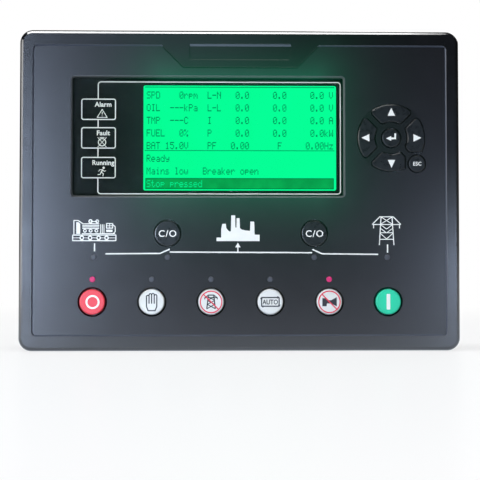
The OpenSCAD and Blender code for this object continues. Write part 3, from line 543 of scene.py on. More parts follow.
class DressMouldings(bpy.types.Operator):
    """Gives the bezel, film, gasket, case and clips their plastics"""

    bl_idname = "controller.dress_mouldings"
    bl_label = "Mouldings"

    def execute(self, context):
        colours = context.scene.controller_colours
        bezel = moulded("bezel_plastic", colours.bezel, 0.19, 0.0001, {"Specular IOR Level": 1.0, "IOR": 1.57},
                        (9.0, 0.18, 0.2))
        depth = bezel.add("SeparateXYZ", {0: bezel.spot}, "Y")

        def behind(node, gap):
            """Where the bezel lies more than a gap in millimetres behind a node's face."""
            return bezel.sum("GREATER_THAN", depth, -(front_level(node) - gap) * MM)

        # Painted shade: the bezel is tinted an even dark tone in its deeper wells round the row of mode keys
        from_row = bezel.distance((0.0, middle("stop_key")[1]), ROW_HALF)
        painted_well_shade = bezel.sum("MULTIPLY", bezel.sum("LESS_THAN", from_row, ROW_RIM * MM),
                         behind("front_overlay", WELL_DEPTH))
        bezel.tint(painted_well_shade, tone(8, 9, 11))
        # Painted light: the groove between the border and the film is tinted much lighter than the bezel
        from_film = bezel.distance(middle("front_overlay"), [extent / 2 for extent in size_of("front_overlay")])
        painted_light_groove = bezel.sum("MULTIPLY", bezel.sum("GREATER_THAN", from_film, TOUCH * MM),
                           bezel.sum("LESS_THAN", from_film, GROOVE * MM))
        bezel.tint(bezel.sum("MULTIPLY", behind("front_bezel", GROOVE_DEPTH), painted_light_groove), tone(80, 84, 93))
        from_seat = bezel.distance(middle("display_window"),
                                   [extent / 2 + SEAT_RIM for extent in size_of("display_window")])
        matt = bezel.sum("MULTIPLY", bezel.sum("LESS_THAN", from_seat, TOUCH * MM), SEAT_ROUGHNESS)
        gloss = bezel.shader.inputs["Roughness"].links[0].from_socket
        bezel.feed(bezel.shader, {"Roughness": bezel.sum("MAXIMUM", gloss, matt)})
        add_glow(bezel, 0.07)
        dress(bezel, "front_bezel")
        film = Finish("printed_film", colours.film, 0.25, {"Specular IOR Level": 0.8})
        film.mottle(40.0, 0.16)
        pad = middle("enter_key")
        reach = middle("up_key")[1] + size_of("up_key")[1] / 2 - pad[1] + PAD_RIM
        film.tint(film.sum("LESS_THAN", film.distance(pad, (0.0, 0.0)), reach * MM), tone(2, 2, 3))
        film.roughen(9.0, 0.243, 0.257)
        film.bump(film.cloud(0.14), 0.0002)
        add_glow(film, 0.1)
        dress(film, "front_overlay")
        dress(moulded("case_plastic", colours.case, 0.5, 0.03), "rear_case")
        dress(moulded("clip_plastic", colours.clip, 0.45, 0.02), "fixing_clips")
        foam = Finish("gasket_foam", colours.foam, 0.95)
        foam.mottle(1.2, 0.5)
        foam.bump(foam.cloud(0.45, 4.0), 0.12, 0.9)
        dress(foam, "panel_gasket", "lcd_seal")
        return {"FINISHED"}


class DressDisplay(bpy.types.Operator):
    """Gives the pane, the display module and the milky plastics their finishes"""

    bl_idname = "controller.dress_display"
    bl_label = "Display"

    def execute(self, context):
        colours = context.scene.controller_colours
        pane = Finish("window_pane", colours.pane, 0.01,
                      {"Transmission Weight": 1.0, "IOR": 1.09})
        pane.roughen(9.0, 0.0, 0.012)
        dress(pane, "display_window")
        screen = Finish("lit_screen", tone(1, 30, 16), 0.4, {"Emission Strength": 1.14, "Specular IOR Level": 0.0})
        screen.shine(colours.screen, 46.0, 0.04)
        dress(screen, "lcd_glass")
        dress(plated("blackened_steel", tone(44, 46, 49), 0.42), "lcd_frame")
        milky = moulded("milky_plastic", tone(226, 226, 220), 0.4, 0.01, {"Subsurface Weight": 0.1})
        dress(milky, "status_light_box", "lcd_backlight", "indicator_leds", "usb_insert")
        return {"FINISHED"}


class DressElectronics(bpy.types.Operator):
    """Gives the boards, their parts and all screws their finishes"""

    bl_idname = "controller.dress_electronics"
    bl_label = "Electronics"

    def execute(self, context):
        colours = context.scene.controller_colours
        board = Finish("solder_mask", colours.board, 0.35)
        upright = board.add("Mapping", {"Vector": board.spot, "Rotation": (math.radians(90), 0, 0)})
        tracks = board.add("TexBrick", {"Vector": upright, "Scale": 90.0, "Mortar Size": 0.03}, "Fac")
        board.tint(tracks, tuple(part * 1.9 for part in colours.board))
        board.bump(tracks, 0.03, 0.5)
        board.roughen(1.8, 0.3, 0.42)
        dress(board, "lcd_board", "keypad_board", "main_board")
        chip = moulded("chip_plastic", tone(28, 29, 31), 0.55, 0.01)
        dress(chip, "processor", "keypad_link", "lcd_link")
        dress(moulded("relay_plastic", tone(34, 38, 44), 0.3, 0.006), "relays")
        dress(moulded("transformer_plastic", tone(30, 48, 88), 0.35, 0.008), "current_transformers")
        dress(moulded("capacitor_sleeve", tone(38, 42, 50), 0.25, 0.004), "capacitors")
        zinc = plated("zinc_plate", colours.zinc, 0.34)
        dress(zinc, "lcd_screws", "keypad_screws", "main_board_screws", "case_screws", "clip_screws",
              "clamp_screws")
        dress(plated("bright_steel", colours.steel, 0.28), "usb_shell", "clock_cell")
        return {"FINISHED"}


class DressTerminals(bpy.types.Operator):
    """Gives the terminal plugs and headers their green plastic"""

    bl_idname = "controller.dress_terminals"
    bl_label = "Terminals"

    def execute(self, context):
        green = moulded("terminal_plastic", context.scene.controller_colours.terminal, 0.42, 0.008)
        corners = ("top_left", "top_right", "bottom_left", "bottom_right")
        dress(green, *["plug_" + corner for corner in corners], *["header_" + corner for corner in corners])
        return {"FINISHED"}


class DressKeys(bpy.types.Operator):
    """Gives each key its coloured cap, and the indicators their finishes"""

    bl_idname = "controller.dress_keys"
    bl_label = "Keys"

    def cap(self, node, colour, roughness, sockets=None):
        """Key cap with painted shade: its rim is darkened towards the edge."""
        finish = moulded(node + "_cap", colour, roughness, 0.0012, sockets)
        radius = max(size_of(node)) / 2 * MM
        # Painted shade darkens the cap towards its rim
        rim = finish.span(finish.distance(middle(node), (0.0, 0.0)), 0.0, 0.35, radius * 0.8, radius * 1.02)
        finish.tint(rim, [part * 0.4 for part in colour])
        return finish

    def execute(self, context):
        colours = context.scene.controller_colours
        for node in KEYS:
            paint = getattr(colours, key_slot(node))
            if node in MODE_KEYS:
                cap = self.cap(node, paint, 0.42)
            else:
                cap = self.cap(node, paint, 0.3, {"Specular IOR Level": 0.5})
                add_glow(cap, 0.03)
            dress(cap, node)
        lit = Finish("lit_lens", colours.lamp_lit, 0.3, {"Emission Color": (*colours.lamp_lit, 1.0)})
        lit.feed(lit.shader, {"Emission Strength": lit.span(lit.cloud(1.1), 0.2, 0.36)})
        dress(lit, "lamps_lit")
        dress(moulded("unlit_lens", colours.lamp_off, 0.35, 0.004), "lamps_off")
        return {"FINISHED"}


class MouldKeymat(bpy.types.Operator):
    """Makes the rubber mat as a sheet and one dome under each key"""

    bl_idname = "controller.mould_keymat"
    bl_label = "Key mat"

    # Millimetres behind the domes' fronts at which the mat is cut, and by which a pressed dome gets shorter
    CUT = 2.7
    GIVE = 1.02
    # Metres within which points are merged
    SAME = 1e-7

    def half(self, level, front):
        """The mat in front of or behind a level, closed where it is cut."""
        shape = bmesh.new()
        shape.from_mesh(NODES["keymat"].data)
        bmesh.ops.remove_doubles(shape, verts=shape.verts, dist=self.SAME)
        cut = bmesh.ops.bisect_plane(shape, geom=[*shape.verts, *shape.edges, *shape.faces], dist=self.SAME,
                                     plane_co=(0, level, 0), plane_no=(0, 1, 0),
                                     clear_outer=front, clear_inner=not front)
        rim = [part for part in cut["geom_cut"] if isinstance(part, bmesh.types.BMEdge)]
        bmesh.ops.triangle_fill(shape, edges=rim, use_beauty=True)
        bmesh.ops.recalc_face_normals(shape, faces=shape.faces)
        return shape

    def execute(self, context):
        silicone = moulded("mat_silicone", context.scene.controller_colours.silicone, 0.6, 0.01,
                           {"Subsurface Weight": 0.05})
        dress(silicone, "keymat")
        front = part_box("keymat")[0].y
        level = front + self.CUT * MM
        sheet = make_piece("mat_sheet", self.half(level, False), silicone.material, "controller")
        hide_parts("keymat")
        places = {node: Vector(middle(node)) * MM for node in KEYS}
        for node, place in places.items():
            dome = self.half(level, True)
            others = [vert for vert in dome.verts
                      if min(KEYS, key=lambda key: (places[key] - vert.co.xz).length) != node]
            bmesh.ops.delete(dome, geom=others, context="VERTS")
            made = make_piece(node.replace("_key", "_dome"), dome, silicone.material, "controller")
            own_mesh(made)
        return {"FINISHED"}


class PrintMimic(bpy.types.Operator):
    """Prints the supply line and the plant icons on the film"""

    bl_idname = "controller.print_mimic"
    bl_label = "Supply line and icons"

    # Middle of the mast, and the bars of one half: ends from the middle, and share of the line's width
    MAST = 80.5
    MAST_HALF = ((3.7, -14.2, 7.9, -18.4, 1.0), (7.1, -18.4, 7.1, -20.5, 1.0), (3.0, -14.2, 4.0, -29.6, 1.05),
                 (3.0, -14.3, -3.3, -18.3, 0.8), (3.2, -18.5, 0.0, -20.9, 0.8), (3.5, -20.4, 0.0, -23.0, 0.8),
                 (3.6, -23.1, 0.0, -26.3, 0.8))

    def line(self, sheet, width):
        """Supply line with two open switches, an outgoing arrow and a tick under each source."""
        sheet.path([(-72.8, -34.4), (-43.2, -34.2), (-37.9, -31.9)], width)
        sheet.bar((-37.9, -33.45), (39.7, -33.8), width)
        sheet.path([(39.9, -32.0), (45.2, -34.4), (75.8, -34.7)], width)
        sheet.bars(width, (-78.7, -28.7, -78.7, -33.1), (81.0, -29.3, 81.0, -33.8))
        sheet.bar((-0.8, -33.5), (-0.8, -30.4), width * 0.85)
        sheet.slab([(-2.3, -30.9), (0.7, -30.9), (-0.8, -28.4)])

    def generator(self, sheet, line):
        """Generator set on a skid, seen from the side."""
        sheet.outline((-78.85, -25.75), 24.0, 3.6, line * 1.1, 0.4)
        for x in (-85.6, -81.1, -76.5, -72.2):
            sheet.ring((x, -25.75), 0.62, 1.25, steps=24)
        for start, end in ((-90.2, -87.0), (-84.2, -82.5), (-79.7, -77.9), (-75.1, -73.6), (-70.8, -67.5)):
            sheet.bar((start, -25.75), (end, -25.75), line * 0.6)
        sheet.path([(-89.9, -23.9), (-89.9, -16.3), (-87.7, -16.3), (-85.2, -17.9)], line)
        sheet.slab([(-88.6, -17.3), (-87.5, -17.3), (-86.5, -18.1), (-86.5, -23.6), (-88.6, -23.6)])
        for y in (-18.1, -18.95, -19.8, -20.65):
            sheet.bar((-85.3, y), (-76.2, y), line * 0.95)
        for x in (-83.9, -80.8, -77.7):
            sheet.ring((x, -21.9), 0.5, 1.0, steps=20)
        sheet.bar((-85.6, -23.5), (-67.6, -23.5), line)
        sheet.ring((-80.9, -16.8), 0.55, 1.15, steps=24)
        sheet.ring((-77.3, -16.8), 0.5, 1.0, steps=24)
        sheet.bar((-80.9, -16.9), (-77.3, -16.9), line)
        for x in (-75.4, -74.5, -73.6):
            sheet.bar((x, -18.4), (x, -23.5), line * 0.9)
        sheet.outline((-70.6, -19.2), 3.8, 3.0, line, 0.2)
        sheet.bars(line * 0.7, (-72.3, -19.2, -68.9, -19.2), (-70.6, -17.9, -70.6, -20.5))
        sheet.path([(-68.8, -18.6), (-67.5, -19.7), (-67.5, -22.4), (-68.6, -23.4)], line)
        sheet.slab([(-72.4, -21.3), (-69.0, -21.3), (-69.0, -22.6), (-72.4, -22.6)])

    def factory(self, sheet):
        """Factory with four stacks."""
        sheet.slab([(-12.4, -27.5), (-12.4, -25.6), (-9.9, -25.6), (-9.9, -21.0), (-9.3, -18.1), (-7.4, -18.1),
                    (-7.1, -20.4), (-6.2, -21.6), (-5.2, -22.3), (-4.6, -22.1), (-4.4, -13.5), (-2.3, -13.5),
                    (-2.1, -20.1), (-1.6, -20.1), (-1.5, -15.0), (0.1, -15.0), (0.3, -20.4), (1.4, -21.2),
                    (3.4, -21.7), (5.8, -21.9), (6.0, -16.9), (8.1, -16.9), (8.3, -24.0), (11.0, -24.0),
                    (11.0, -27.5)])

    def pylon(self, sheet, line):
        """Lattice mast of the mains."""
        sheet.bar((76.5, -14.2), (84.3, -14.2), line)
        for side in (-1, 1):
            for x0, y0, x1, y1, share in self.MAST_HALF:
                sheet.bar((self.MAST + side * x0, y0), (self.MAST + side * x1, y1), line * share)
        sheet.bar((72.7, -18.4), (88.3, -18.4), line)
        sheet.bar((77.0, -22.9), (84.0, -22.9), line * 0.8)
        sheet.bar((76.8, -26.5), (84.2, -26.5), line * 0.9)

    def execute(self, context):
        sizes = context.scene.controller_sizes
        ink = inked("film_ink", context.scene.controller_colours.ink).material
        line = sizes.icon_line / MM
        for name, draw in (("supply_line", lambda sheet: self.line(sheet, sizes.mimic_line / MM)),
                           ("generator_icon", lambda sheet: self.generator(sheet, line)),
                           ("factory_icon", self.factory),
                           ("pylon_icon", lambda sheet: self.pylon(sheet, line))):
            sheet = print_sheet(front_level("front_overlay"))
            draw(sheet)
            sheet.piece(name, ink, "controller", "overlay", PRINT_PLACE)
        return {"FINISHED"}


class PrintPane(bpy.types.Operator):
    """Prints the dark mask behind the pane, and the frame and status boxes on it"""

    bl_idname = "controller.print_pane"
    bl_label = "Pane print"

    # Height and caption of each status box, with their shared place across and size, in millimetres
    BOXES = ((44.45, "Alarm"), (28.8, "Fault"), (12.55, "Running"))
    BOX_X = -76.85
    BOX = (18.9, 11.7)
    # Place across, height above a box's middle and letter height of the captions, in millimetres
    CAPTION = (-74.3, 2.8, 2.6)
    # Bare rim of the pane round the mask, and the mask's levels in front of the pane's back, in millimetres
    RIM = 0.3
    MASK = (0.01, 0.05)
    # The signs' share of the frame's line width, and the ink's share of its colour on the film
    SIGN_LINE = 0.62
    INK_SHARES = (0.74, 0.76, 0.7)

    def mask(self, context):
        """Dark print with a clear field over the display."""
        colours = context.scene.controller_colours
        back = back_level("display_window")
        width, height = size_of("display_window")
        sheet = Drawing(*(back + level for level in self.MASK))
        left, low = (value - extent / 2 for value, extent in zip(middle("display_window"), (width, height)))
        field = [(SCREEN_CENTRE[i] - SCREEN[i] / 2, SCREEN_CENTRE[i] + SCREEN[i] / 2) for i in (0, 1)]
        right, high = left + width - self.RIM, low + height - self.RIM
        left, low = left + self.RIM, low + self.RIM
        spans = ((left, field[0][0], low, high), (field[0][1], right, low, high),
                 (*field[0], low, field[1][0]), (*field[0], field[1][1], high))
        for x0, x1, y0, y1 in spans:
            sheet.slab([(x0, y0), (x1, y0), (x1, y1), (x0, y1)])
        angles = [math.radians(angle) for angle in (0, 22, 45, 68, 90)]
        bend = [Vector((1 - math.cos(angle), 1 - math.sin(angle))) for angle in angles]
        for x, y, turn in ((0, 0, 0), (1, 0, 90), (1, 1, 180), (0, 1, 270)):
            spin = Matrix.Rotation(math.radians(turn), 2)
            corner = Vector((field[0][x], field[1][y]))
            sheet.slab([corner + spin @ point for point in (Vector((0, 0)), *reversed(bend))])
        mask = Finish("pane_mask", colours.mask, 0.5, {"Specular IOR Level": 0.1})
        mask.mottle(30.0, 0.2)
        mask.bump(mask.cloud(0.2), 0.004)
        add_glow(mask, 0.03)
        sheet.piece("pane_mask", mask.material, "controller", "window")

    def frame(self, sheet, line):
        """Frame round the display, led through the three status boxes."""
        left, right, top, low, bend = -77.1, 55.4, 59.5, -1.75, 1.6
        half = self.BOX[1] / 2
        for centre, start in (((left + bend, top - bend), 90), ((right - bend, top - bend), 0),
                              ((right - bend, low + bend), 270), ((left + bend, low + bend), 180)):
            sheet.ring(centre, bend - line / 2, bend + line / 2, start, 90.0, 8)
        sheet.bars(line, (left + bend, top, right - bend, top), (left + bend, low, right - bend, low),
                   (right, low + bend, right, top - bend))
        stops = [top - bend]
        for height, _ in self.BOXES:
            stops += [height + half, height - half]
            sheet.outline((self.BOX_X, height), *self.BOX, line, 1.3)
        stops.append(low + bend)
        for upper, lower in zip(stops[::2], stops[1::2]):
            sheet.bar((left, upper), (left, lower), line)

    def icons(self, sheet, line):
        """Sign in each status box: alarm triangle, crossed lamp and running figure."""
        x, y = -74.9, 42.1
        sheet.path([(x - 2.7, y - 2.1), (x + 2.7, y - 2.1), (x, y + 2.3)], line, closed=True)
        sheet.bar((x, y + 1.0), (x, y - 0.5), line)
        sheet.disc((x, y - 1.25), line * 0.6, 12)
        y = 26.4
        sheet.ring((x, y), 1.75, 2.25, steps=28)
        for side in (-1, 1):
            sheet.bar((x - 2.4, y - side * 2.7), (x + 2.4, y + side * 2.7), line * 0.9)
        sheet.bar((x - 1.3, y + 2.6), (x + 1.3, y + 2.6), line)
        y = 10.3
        sheet.disc((x + 0.9, y + 2.1), 0.62, 16)
        sheet.path([(x + 0.5, y + 1.2), (x - 0.5, y - 0.4)], line * 1.9)
        sheet.path([(x + 0.5, y + 1.0), (x + 1.3, y + 0.2), (x + 2.2, y + 0.6)], line)
        sheet.path([(x + 0.3, y + 1.1), (x - 1.2, y + 1.1), (x - 1.8, y + 0.2)], line)
        sheet.path([(x - 0.4, y - 0.3), (x + 0.8, y - 1.0), (x + 0.5, y - 2.5)], line * 1.2)
        sheet.path([(x - 0.5, y - 0.4), (x - 1.0, y - 1.5), (x - 2.3, y - 1.6)], line * 1.2)

    def execute(self, context):
        self.mask(context)
        line = context.scene.controller_sizes.frame_line / MM
        sheet = print_sheet(front_level("display_window"))
        self.frame(sheet, line)
        self.icons(sheet, line * self.SIGN_LINE)
        across, above, tall = self.CAPTION
        for height, word in self.BOXES:
            sheet.words(word, (across, height + above), tall, 0.1, 1.0, 1.04)
        ink = [part * share for part, share in zip(context.scene.controller_colours.ink, self.INK_SHARES)]
        sheet.piece("pane_print", inked("pane_ink", ink).material, "controller", "window", PRINT_PLACE)
        return {"FINISHED"}


class DrawScreen(bpy.types.Operator):
    """Sets the dark dots of the readings on the lit display"""

    bl_idname = "controller.draw_screen"
    bl_label = "Readings"

    # Label, value and unit, then a second label with three values and their unit
    READINGS = (("SPD", "0", "rpm", "L-N", "0.0", "0.0", "0.0", "V"),
                ("OIL", "---", "kPa", "L-L", "0.0", "0.0", "0.0", "V"),
                ("TMP", "---", "C", "I", "0.0", "0.0", "0.0", "A"),
                ("FUEL", "0", "%", "P", "0.0", "0.0", "0.0", "kW"),
                ("BAT", "15.0", "V", "PF", "0.00", "F ", "0.00", "Hz"))
    NOTES = ("Ready", "Mains low   Breaker open")
    STATE = "Stop pressed"
    # Millimetres left above the first row, and above and below all rows together
    HEAD = 1.4
    SLACK = 1.8
    # Places of the two ruled lines below the top, and of the bar's middle above the low edge, in millimetres
    RULES = (0.5, 35.5)
    BAR_MIDDLE = 3.9
    # Levels of the dots, the bar and the text on it, in front of the glass, in millimetres
    DOTS = (-0.01, 0.03)
    BAR = (-0.01, 0.02)
    BAR_TEXT = (0.01, 0.05)
    # Each letter is seven rows of five dots
    LETTERS = """
A .###. #...# #...# ##### #...# #...# #...#
B ####. #...# #...# ####. #...# #...# ####.
C .###. #...# #.... #.... #.... #...# .###.
D ####. #...# #...# #...# #...# #...# ####.
E ##### #.... #.... ####. #.... #.... #####
F ##### #.... #.... ####. #.... #.... #....
H #...# #...# #...# ##### #...# #...# #...#
I .###. ..#.. ..#.. ..#.. ..#.. ..#.. .###.
L #.... #.... #.... #.... #.... #.... #####
M #...# ##.## #.#.# #.#.# #...# #...# #...#
N #...# ##..# #.#.# #..## #...# #...# #...#
O .###. #...# #...# #...# #...# #...# .###.
P ####. #...# #...# ####. #.... #.... #....
R ####. #...# #...# ####. #.#.. #..#. #...#
S .#### #.... #.... .###. ....# ....# ####.
T ##### ..#.. ..#.. ..#.. ..#.. ..#.. ..#..
U #...# #...# #...# #...# #...# #...# .###.
V #...# #...# #...# #...# #...# .#.#. ..#..
W #...# #...# #...# #.#.# #.#.# ##.## #...#
a ..... ..... .###. ....# .#### #...# .####
d ....# ....# .##.# #..## #...# #...# .####
e ..... ..... .###. #...# ##### #.... .###.
i ..#.. ..... .##.. ..#.. ..#.. ..#.. .###.
k #.... #.... #..#. #.#.. ##... #.#.. #..#.
l .##.. ..#.. ..#.. ..#.. ..#.. ..#.. .###.
m ..... ..... ##.#. #.#.# #.#.# #...# #...#
n ..... ..... #.##. ##..# #...# #...# #...#
o ..... ..... .###. #...# #...# #...# .###.
p ..... ..... ####. #...# ####. #.... #....
r ..... ..... #.##. ##..# #.... #.... #....
s ..... ..... .###. #.... .###. ....# ####.
t .#... .#... ###.. .#... .#... .#..# ..##.
w ..... ..... #...# #...# #.#.# #.#.# .#.#.
y ..... ..... #...# #...# .#### ....# .###.
z ..... ..... ##### ...#. ..#.. .#... #####
0 .###. #...# #..## #.#.# ##..# #...# .###.
1 ..#.. .##.. ..#.. ..#.. ..#.. ..#.. .###.
5 ##### #.... ####. ....# ....# #...# .###.
. ..... ..... ..... ..... ..... .##.. .##..
- ..... ..... ..... ##### ..... ..... .....
% ##... ##..# ...#. ..#.. .#... #..## ...##
"""

    def dots(self, sheet, row, text, share):
        """One line of text, each run of dots as one bar."""
        letters = {line.split()[0]: line.split()[1:] for line in self.LETTERS.strip().splitlines()}
        left = SCREEN_CENTRE[0] - SCREEN[0] / 2 + SCREEN_MARGIN
        cell = (SCREEN[0] - 2 * SCREEN_MARGIN) / DISPLAY_COLUMNS, (SCREEN[1] - self.SLACK) / DISPLAY_ROWS
        pitch = cell[0] / (DOT_COLUMNS + DOT_GAPS[0]), cell[1] / (DOT_ROWS + DOT_GAPS[1])
        top = SCREEN_CENTRE[1] + SCREEN[1] / 2 - self.HEAD - cell[1] * row - (cell[1] - DOT_ROWS * pitch[1]) / 2
        for column, letter in enumerate(text):
            for line, marks in enumerate(letters.get(letter, ())):
                y = top - (line + 0.5) * pitch[1]
                for run in re.finditer("#+", marks):
                    x = left + cell[0] * column + (run.start() + 0.8) * pitch[0]
                    sheet.bar((x, y), (x + (len(run.group()) - 1 + share) * pitch[0], y), share * pitch[1])

    def glowing(self, name, colour):
        """Part of the display that shines in its own colour."""
        finish = Finish(name, tone(1, 16, 9), 0.4, {"Emission Strength": 1.0, "Specular IOR Level": 0.0})
        finish.shine(colour, 7.0, 0.15)
        return finish.material

    def execute(self, context):
        colours = context.scene.controller_colours
        share = context.scene.controller_sizes.dot_share
        face = front_level("lcd_glass")
        sheet, bar, light = (Drawing(face + low, face + high) for low, high in (self.DOTS, self.BAR, self.BAR_TEXT))
        lines = [f"{a:<4}{b:>4}{c:<5}{d:<5}{e:>4}{f:>8}{g:>8}{h:>2}" for a, b, c, d, e, f, g, h in self.READINGS]
        for row, text in enumerate((*lines, *self.NOTES)):
            self.dots(sheet, row, text, share)
        left, right = (SCREEN_CENTRE[0] + side * (SCREEN[0] / 2 - 0.6) for side in (-1, 1))
        top = SCREEN_CENTRE[1] + SCREEN[1] / 2
        for drop in self.RULES:
            sheet.bar((left, top - drop), (right, top - drop), 0.35)
        bar_place = SCREEN_CENTRE[0], top - SCREEN[1] + self.BAR_MIDDLE
        sheet.outline(bar_place, SCREEN[0] - 2.0, 6.1, 0.45, 0.2)
        sheet.piece("screen_dots", self.glowing("screen_dot", colours.screen_dot), "controller", "display")
        bar.plate(bar_place, SCREEN[0] - 2.4, 5.7, 0.2)
        bar.piece("screen_bar", self.glowing("screen_bar", colours.screen_bar), "controller", "display")
        self.dots(light, DISPLAY_ROWS - 1, self.STATE, share)
        light.piece("screen_bar_text", self.glowing("screen_light", colours.screen), "controller", "display")
        return {"FINISHED"}


class PrintKeys(bpy.types.Operator):
    """Prints the legend on every key"""

    bl_idname = "controller.print_keys"
    bl_label = "Key legends"

    # Distance of an arrow's legend from the middle of the pad, in millimetres
    ARROW_REACH = 14.1
    # White legends of one shape, with its measures: off, on, return, escape, close and open, arrow
    PLAIN = {"stop_key": ("ring", (0.25, 0), 2.75, 3.8),
             "start_key": ("plate", (0, 0), 2.0, 8.5, 0.35),
             "enter_key": ("slab", [(-2.9, -0.3), (-0.1, 1.0), (-0.1, 0.2), (1.6, 0.2), (1.6, 2.5), (2.6, 2.5),
                                    (2.6, -0.8), (-0.1, -0.8), (-0.1, -1.7)]),
             "escape_key": ("words", "ESC", (0, 0), 2.1, 0.06, 0.95, 1.06),
             **dict.fromkeys(BREAKER_KEYS, ("words", "C/O", (0, 0), 3.7, 0.06, 1.0, 1.14)),
             **dict.fromkeys(ARROW_KEYS, ("slab", [(-2.05, -2.0), (2.05, -2.0), (0, 2.35)]))}

    def manual(self, sheets, line):
        """Open hand in outline."""
        sheet = sheets["dark"]
        tops = (2.9, 3.8, 3.9, 3.3)
        for finger, top in enumerate(tops):
            sheet.ring((-2.1 + 1.4 * finger, top), 0.7 - line / 2, 0.7 + line / 2, 0, 180.0, 10)
        sheet.bar((-2.8, tops[0]), (-2.8, -2.4), line)
        sheet.bar((2.8, tops[3]), (2.8, -2.4), line)
        for finger in (0, 1, 2):
            x = -1.4 + 1.4 * finger
            sheet.bar((x, max(tops[finger:finger + 2])), (x, -0.9), line)
        sheet.path([(-2.8, -2.4), (-1.9, -4.7), (1.9, -4.7), (2.8, -2.4)], line)

    def test(self, sheets, line):
        """Crossed-out mast."""
        dark = sheets["dark"]
        for side in (-1, 1):
            dark.bar((side * 1.5, 3.7), (side * 2.3, -3.8), line)
            dark.path([(side * 1.5, 3.7), (side * 3.4, 2.3), (side * 3.4, 1.4)], line * 0.8)
            for low, high in ((-3.6, -1.4), (-1.4, 0.8), (0.8, 3.0)):
                dark.bar((side * 2.1, low), (-side * 1.9, high), line * 0.8)
        dark.bar((-1.6, 3.7), (1.6, 3.7), line)
        dark.bar((-3.4, 2.3), (3.4, 2.3), line * 0.8)
        self.forbid(sheets["red"], line)

    def mute(self, sheets, line):
        """Crossed-out horn."""
        sheets["dark"].slab([(-3.9, 2.0), (-2.0, 2.0), (-0.6, 0.9), (0.9, 0.9), (4.0, 2.5), (4.0, -2.5), (0.9, -0.9),
                             (-1.4, -0.9), (-1.6, -2.4), (-3.9, -2.4)])
        self.forbid(sheets["red"], line)

    def forbid(self, sheet, line):
        """Red ring with a slanting bar."""
        sheet.ring((0, 0), 5.5, 6.15)
        reach = 5.7 * math.sqrt(0.5)
        sheet.bar((-reach, reach), (reach, -reach), line * 1.1)

    def auto(self, sheets, line):
        """Word in a loop of arrows."""
        sheet = sheets["dark"]
        sheet.outline((0, 0), 10.2, 5.4, line * 1.05, 0.7)
        for x, y, turn in ((4.2, 2.45, 0), (4.85, -1.9, -90), (-4.2, -2.45, 180), (-4.85, 1.9, 90)):
            tip = Vector((math.cos(math.radians(turn)), math.sin(math.radians(turn))))
            side = Vector((-tip.y, tip.x))
            spot = Vector((x, y))
            sheet.slab([spot - tip * 0.4 + side * 0.75, spot - tip * 0.4 - side * 0.75, spot + tip * 0.9])
        sheet.words("AUTO", (0, 0), 2.6, 0.07, 0.84)

    def execute(self, context):
        colours = context.scene.controller_colours
        line = context.scene.controller_sizes.legend_line / MM
        paints = {"white": colours.ink, "dark": colours.legend_dark, "red": colours.legend_red}
        inks = {paint: inked("legend_" + paint, colour).material for paint, colour in paints.items()}
        pictures = {"manual_key": self.manual, "test_key": self.test, "auto_key": self.auto, "mute_key": self.mute}
        pad = middle("enter_key")
        for node in MODE_KEYS + BREAKER_KEYS + SMALL_KEYS + ARROW_KEYS:
            face = front_level(node)
            # Red print lies over dark print
            sheets = {"white": print_sheet(face), "dark": print_sheet(face), "red": print_sheet(face, 0.018, 0.02)}
            if node in pictures:
                pictures[node](sheets, line)
            else:
                kind, *measures = self.PLAIN[node]
                getattr(sheets["white"], kind)(*measures)
            x, y = middle(node)
            turn = Matrix.Identity(4)
            if node in ARROW_KEYS:
                turn = Matrix.Rotation(math.radians(90 * ARROW_KEYS.index(node)), 4, "Z")
                reach = turn @ Vector((0, self.ARROW_REACH, 0))
                x, y = pad[0] + reach.x, pad[1] + reach.y
            for paint, sheet in sheets.items():
                if sheet.mesh.verts:
                    sheet.piece(node.replace("_key", "_legend_") + paint, inks[paint], key_body(node),
                                key_slot(node), Matrix.Translation((x, y, 0)) @ turn)
                else:
                    sheet.mesh.free()
        return {"FINISHED"}


class PrintTerminals(bpy.types.Operator):
    """Prints a number beside each way of the terminals"""

    bl_idname = "controller.print_terminals"
    bl_label = "Terminal numbers"

    # Pitch of the ways, level of the ledge and distance of the numbers from the block, in millimetres
    PITCH = 5.08
    LEDGE = 20.0
    CLEAR = 3.0
    # Way counts from the upper left block on, as read from behind
    BLOCKS = (("plug_top_right", 14), ("plug_top_left", 16), ("plug_bottom_right", 16), ("plug_bottom_left", 12))

    def execute(self, context):
        height = context.scene.controller_sizes.number_height / MM
        ink = inked("number_ink", context.scene.controller_colours.number).material
        sheet = print_sheet(self.LEDGE)
        number = 0
        for node, ways in self.BLOCKS:
            x, y = middle(node)
            edge = y + math.copysign(size_of(node)[1] / 2 + self.CLEAR, y)
            for way in range(ways):
                number += 1
                sheet.words(str(number), (-x + (way - (ways - 1) / 2) * self.PITCH, edge), height, 0.01, 0.9)
        sheet.piece("terminal_numbers", ink, "controller", "case", FROM_BEHIND)
        return {"FINISHED"}


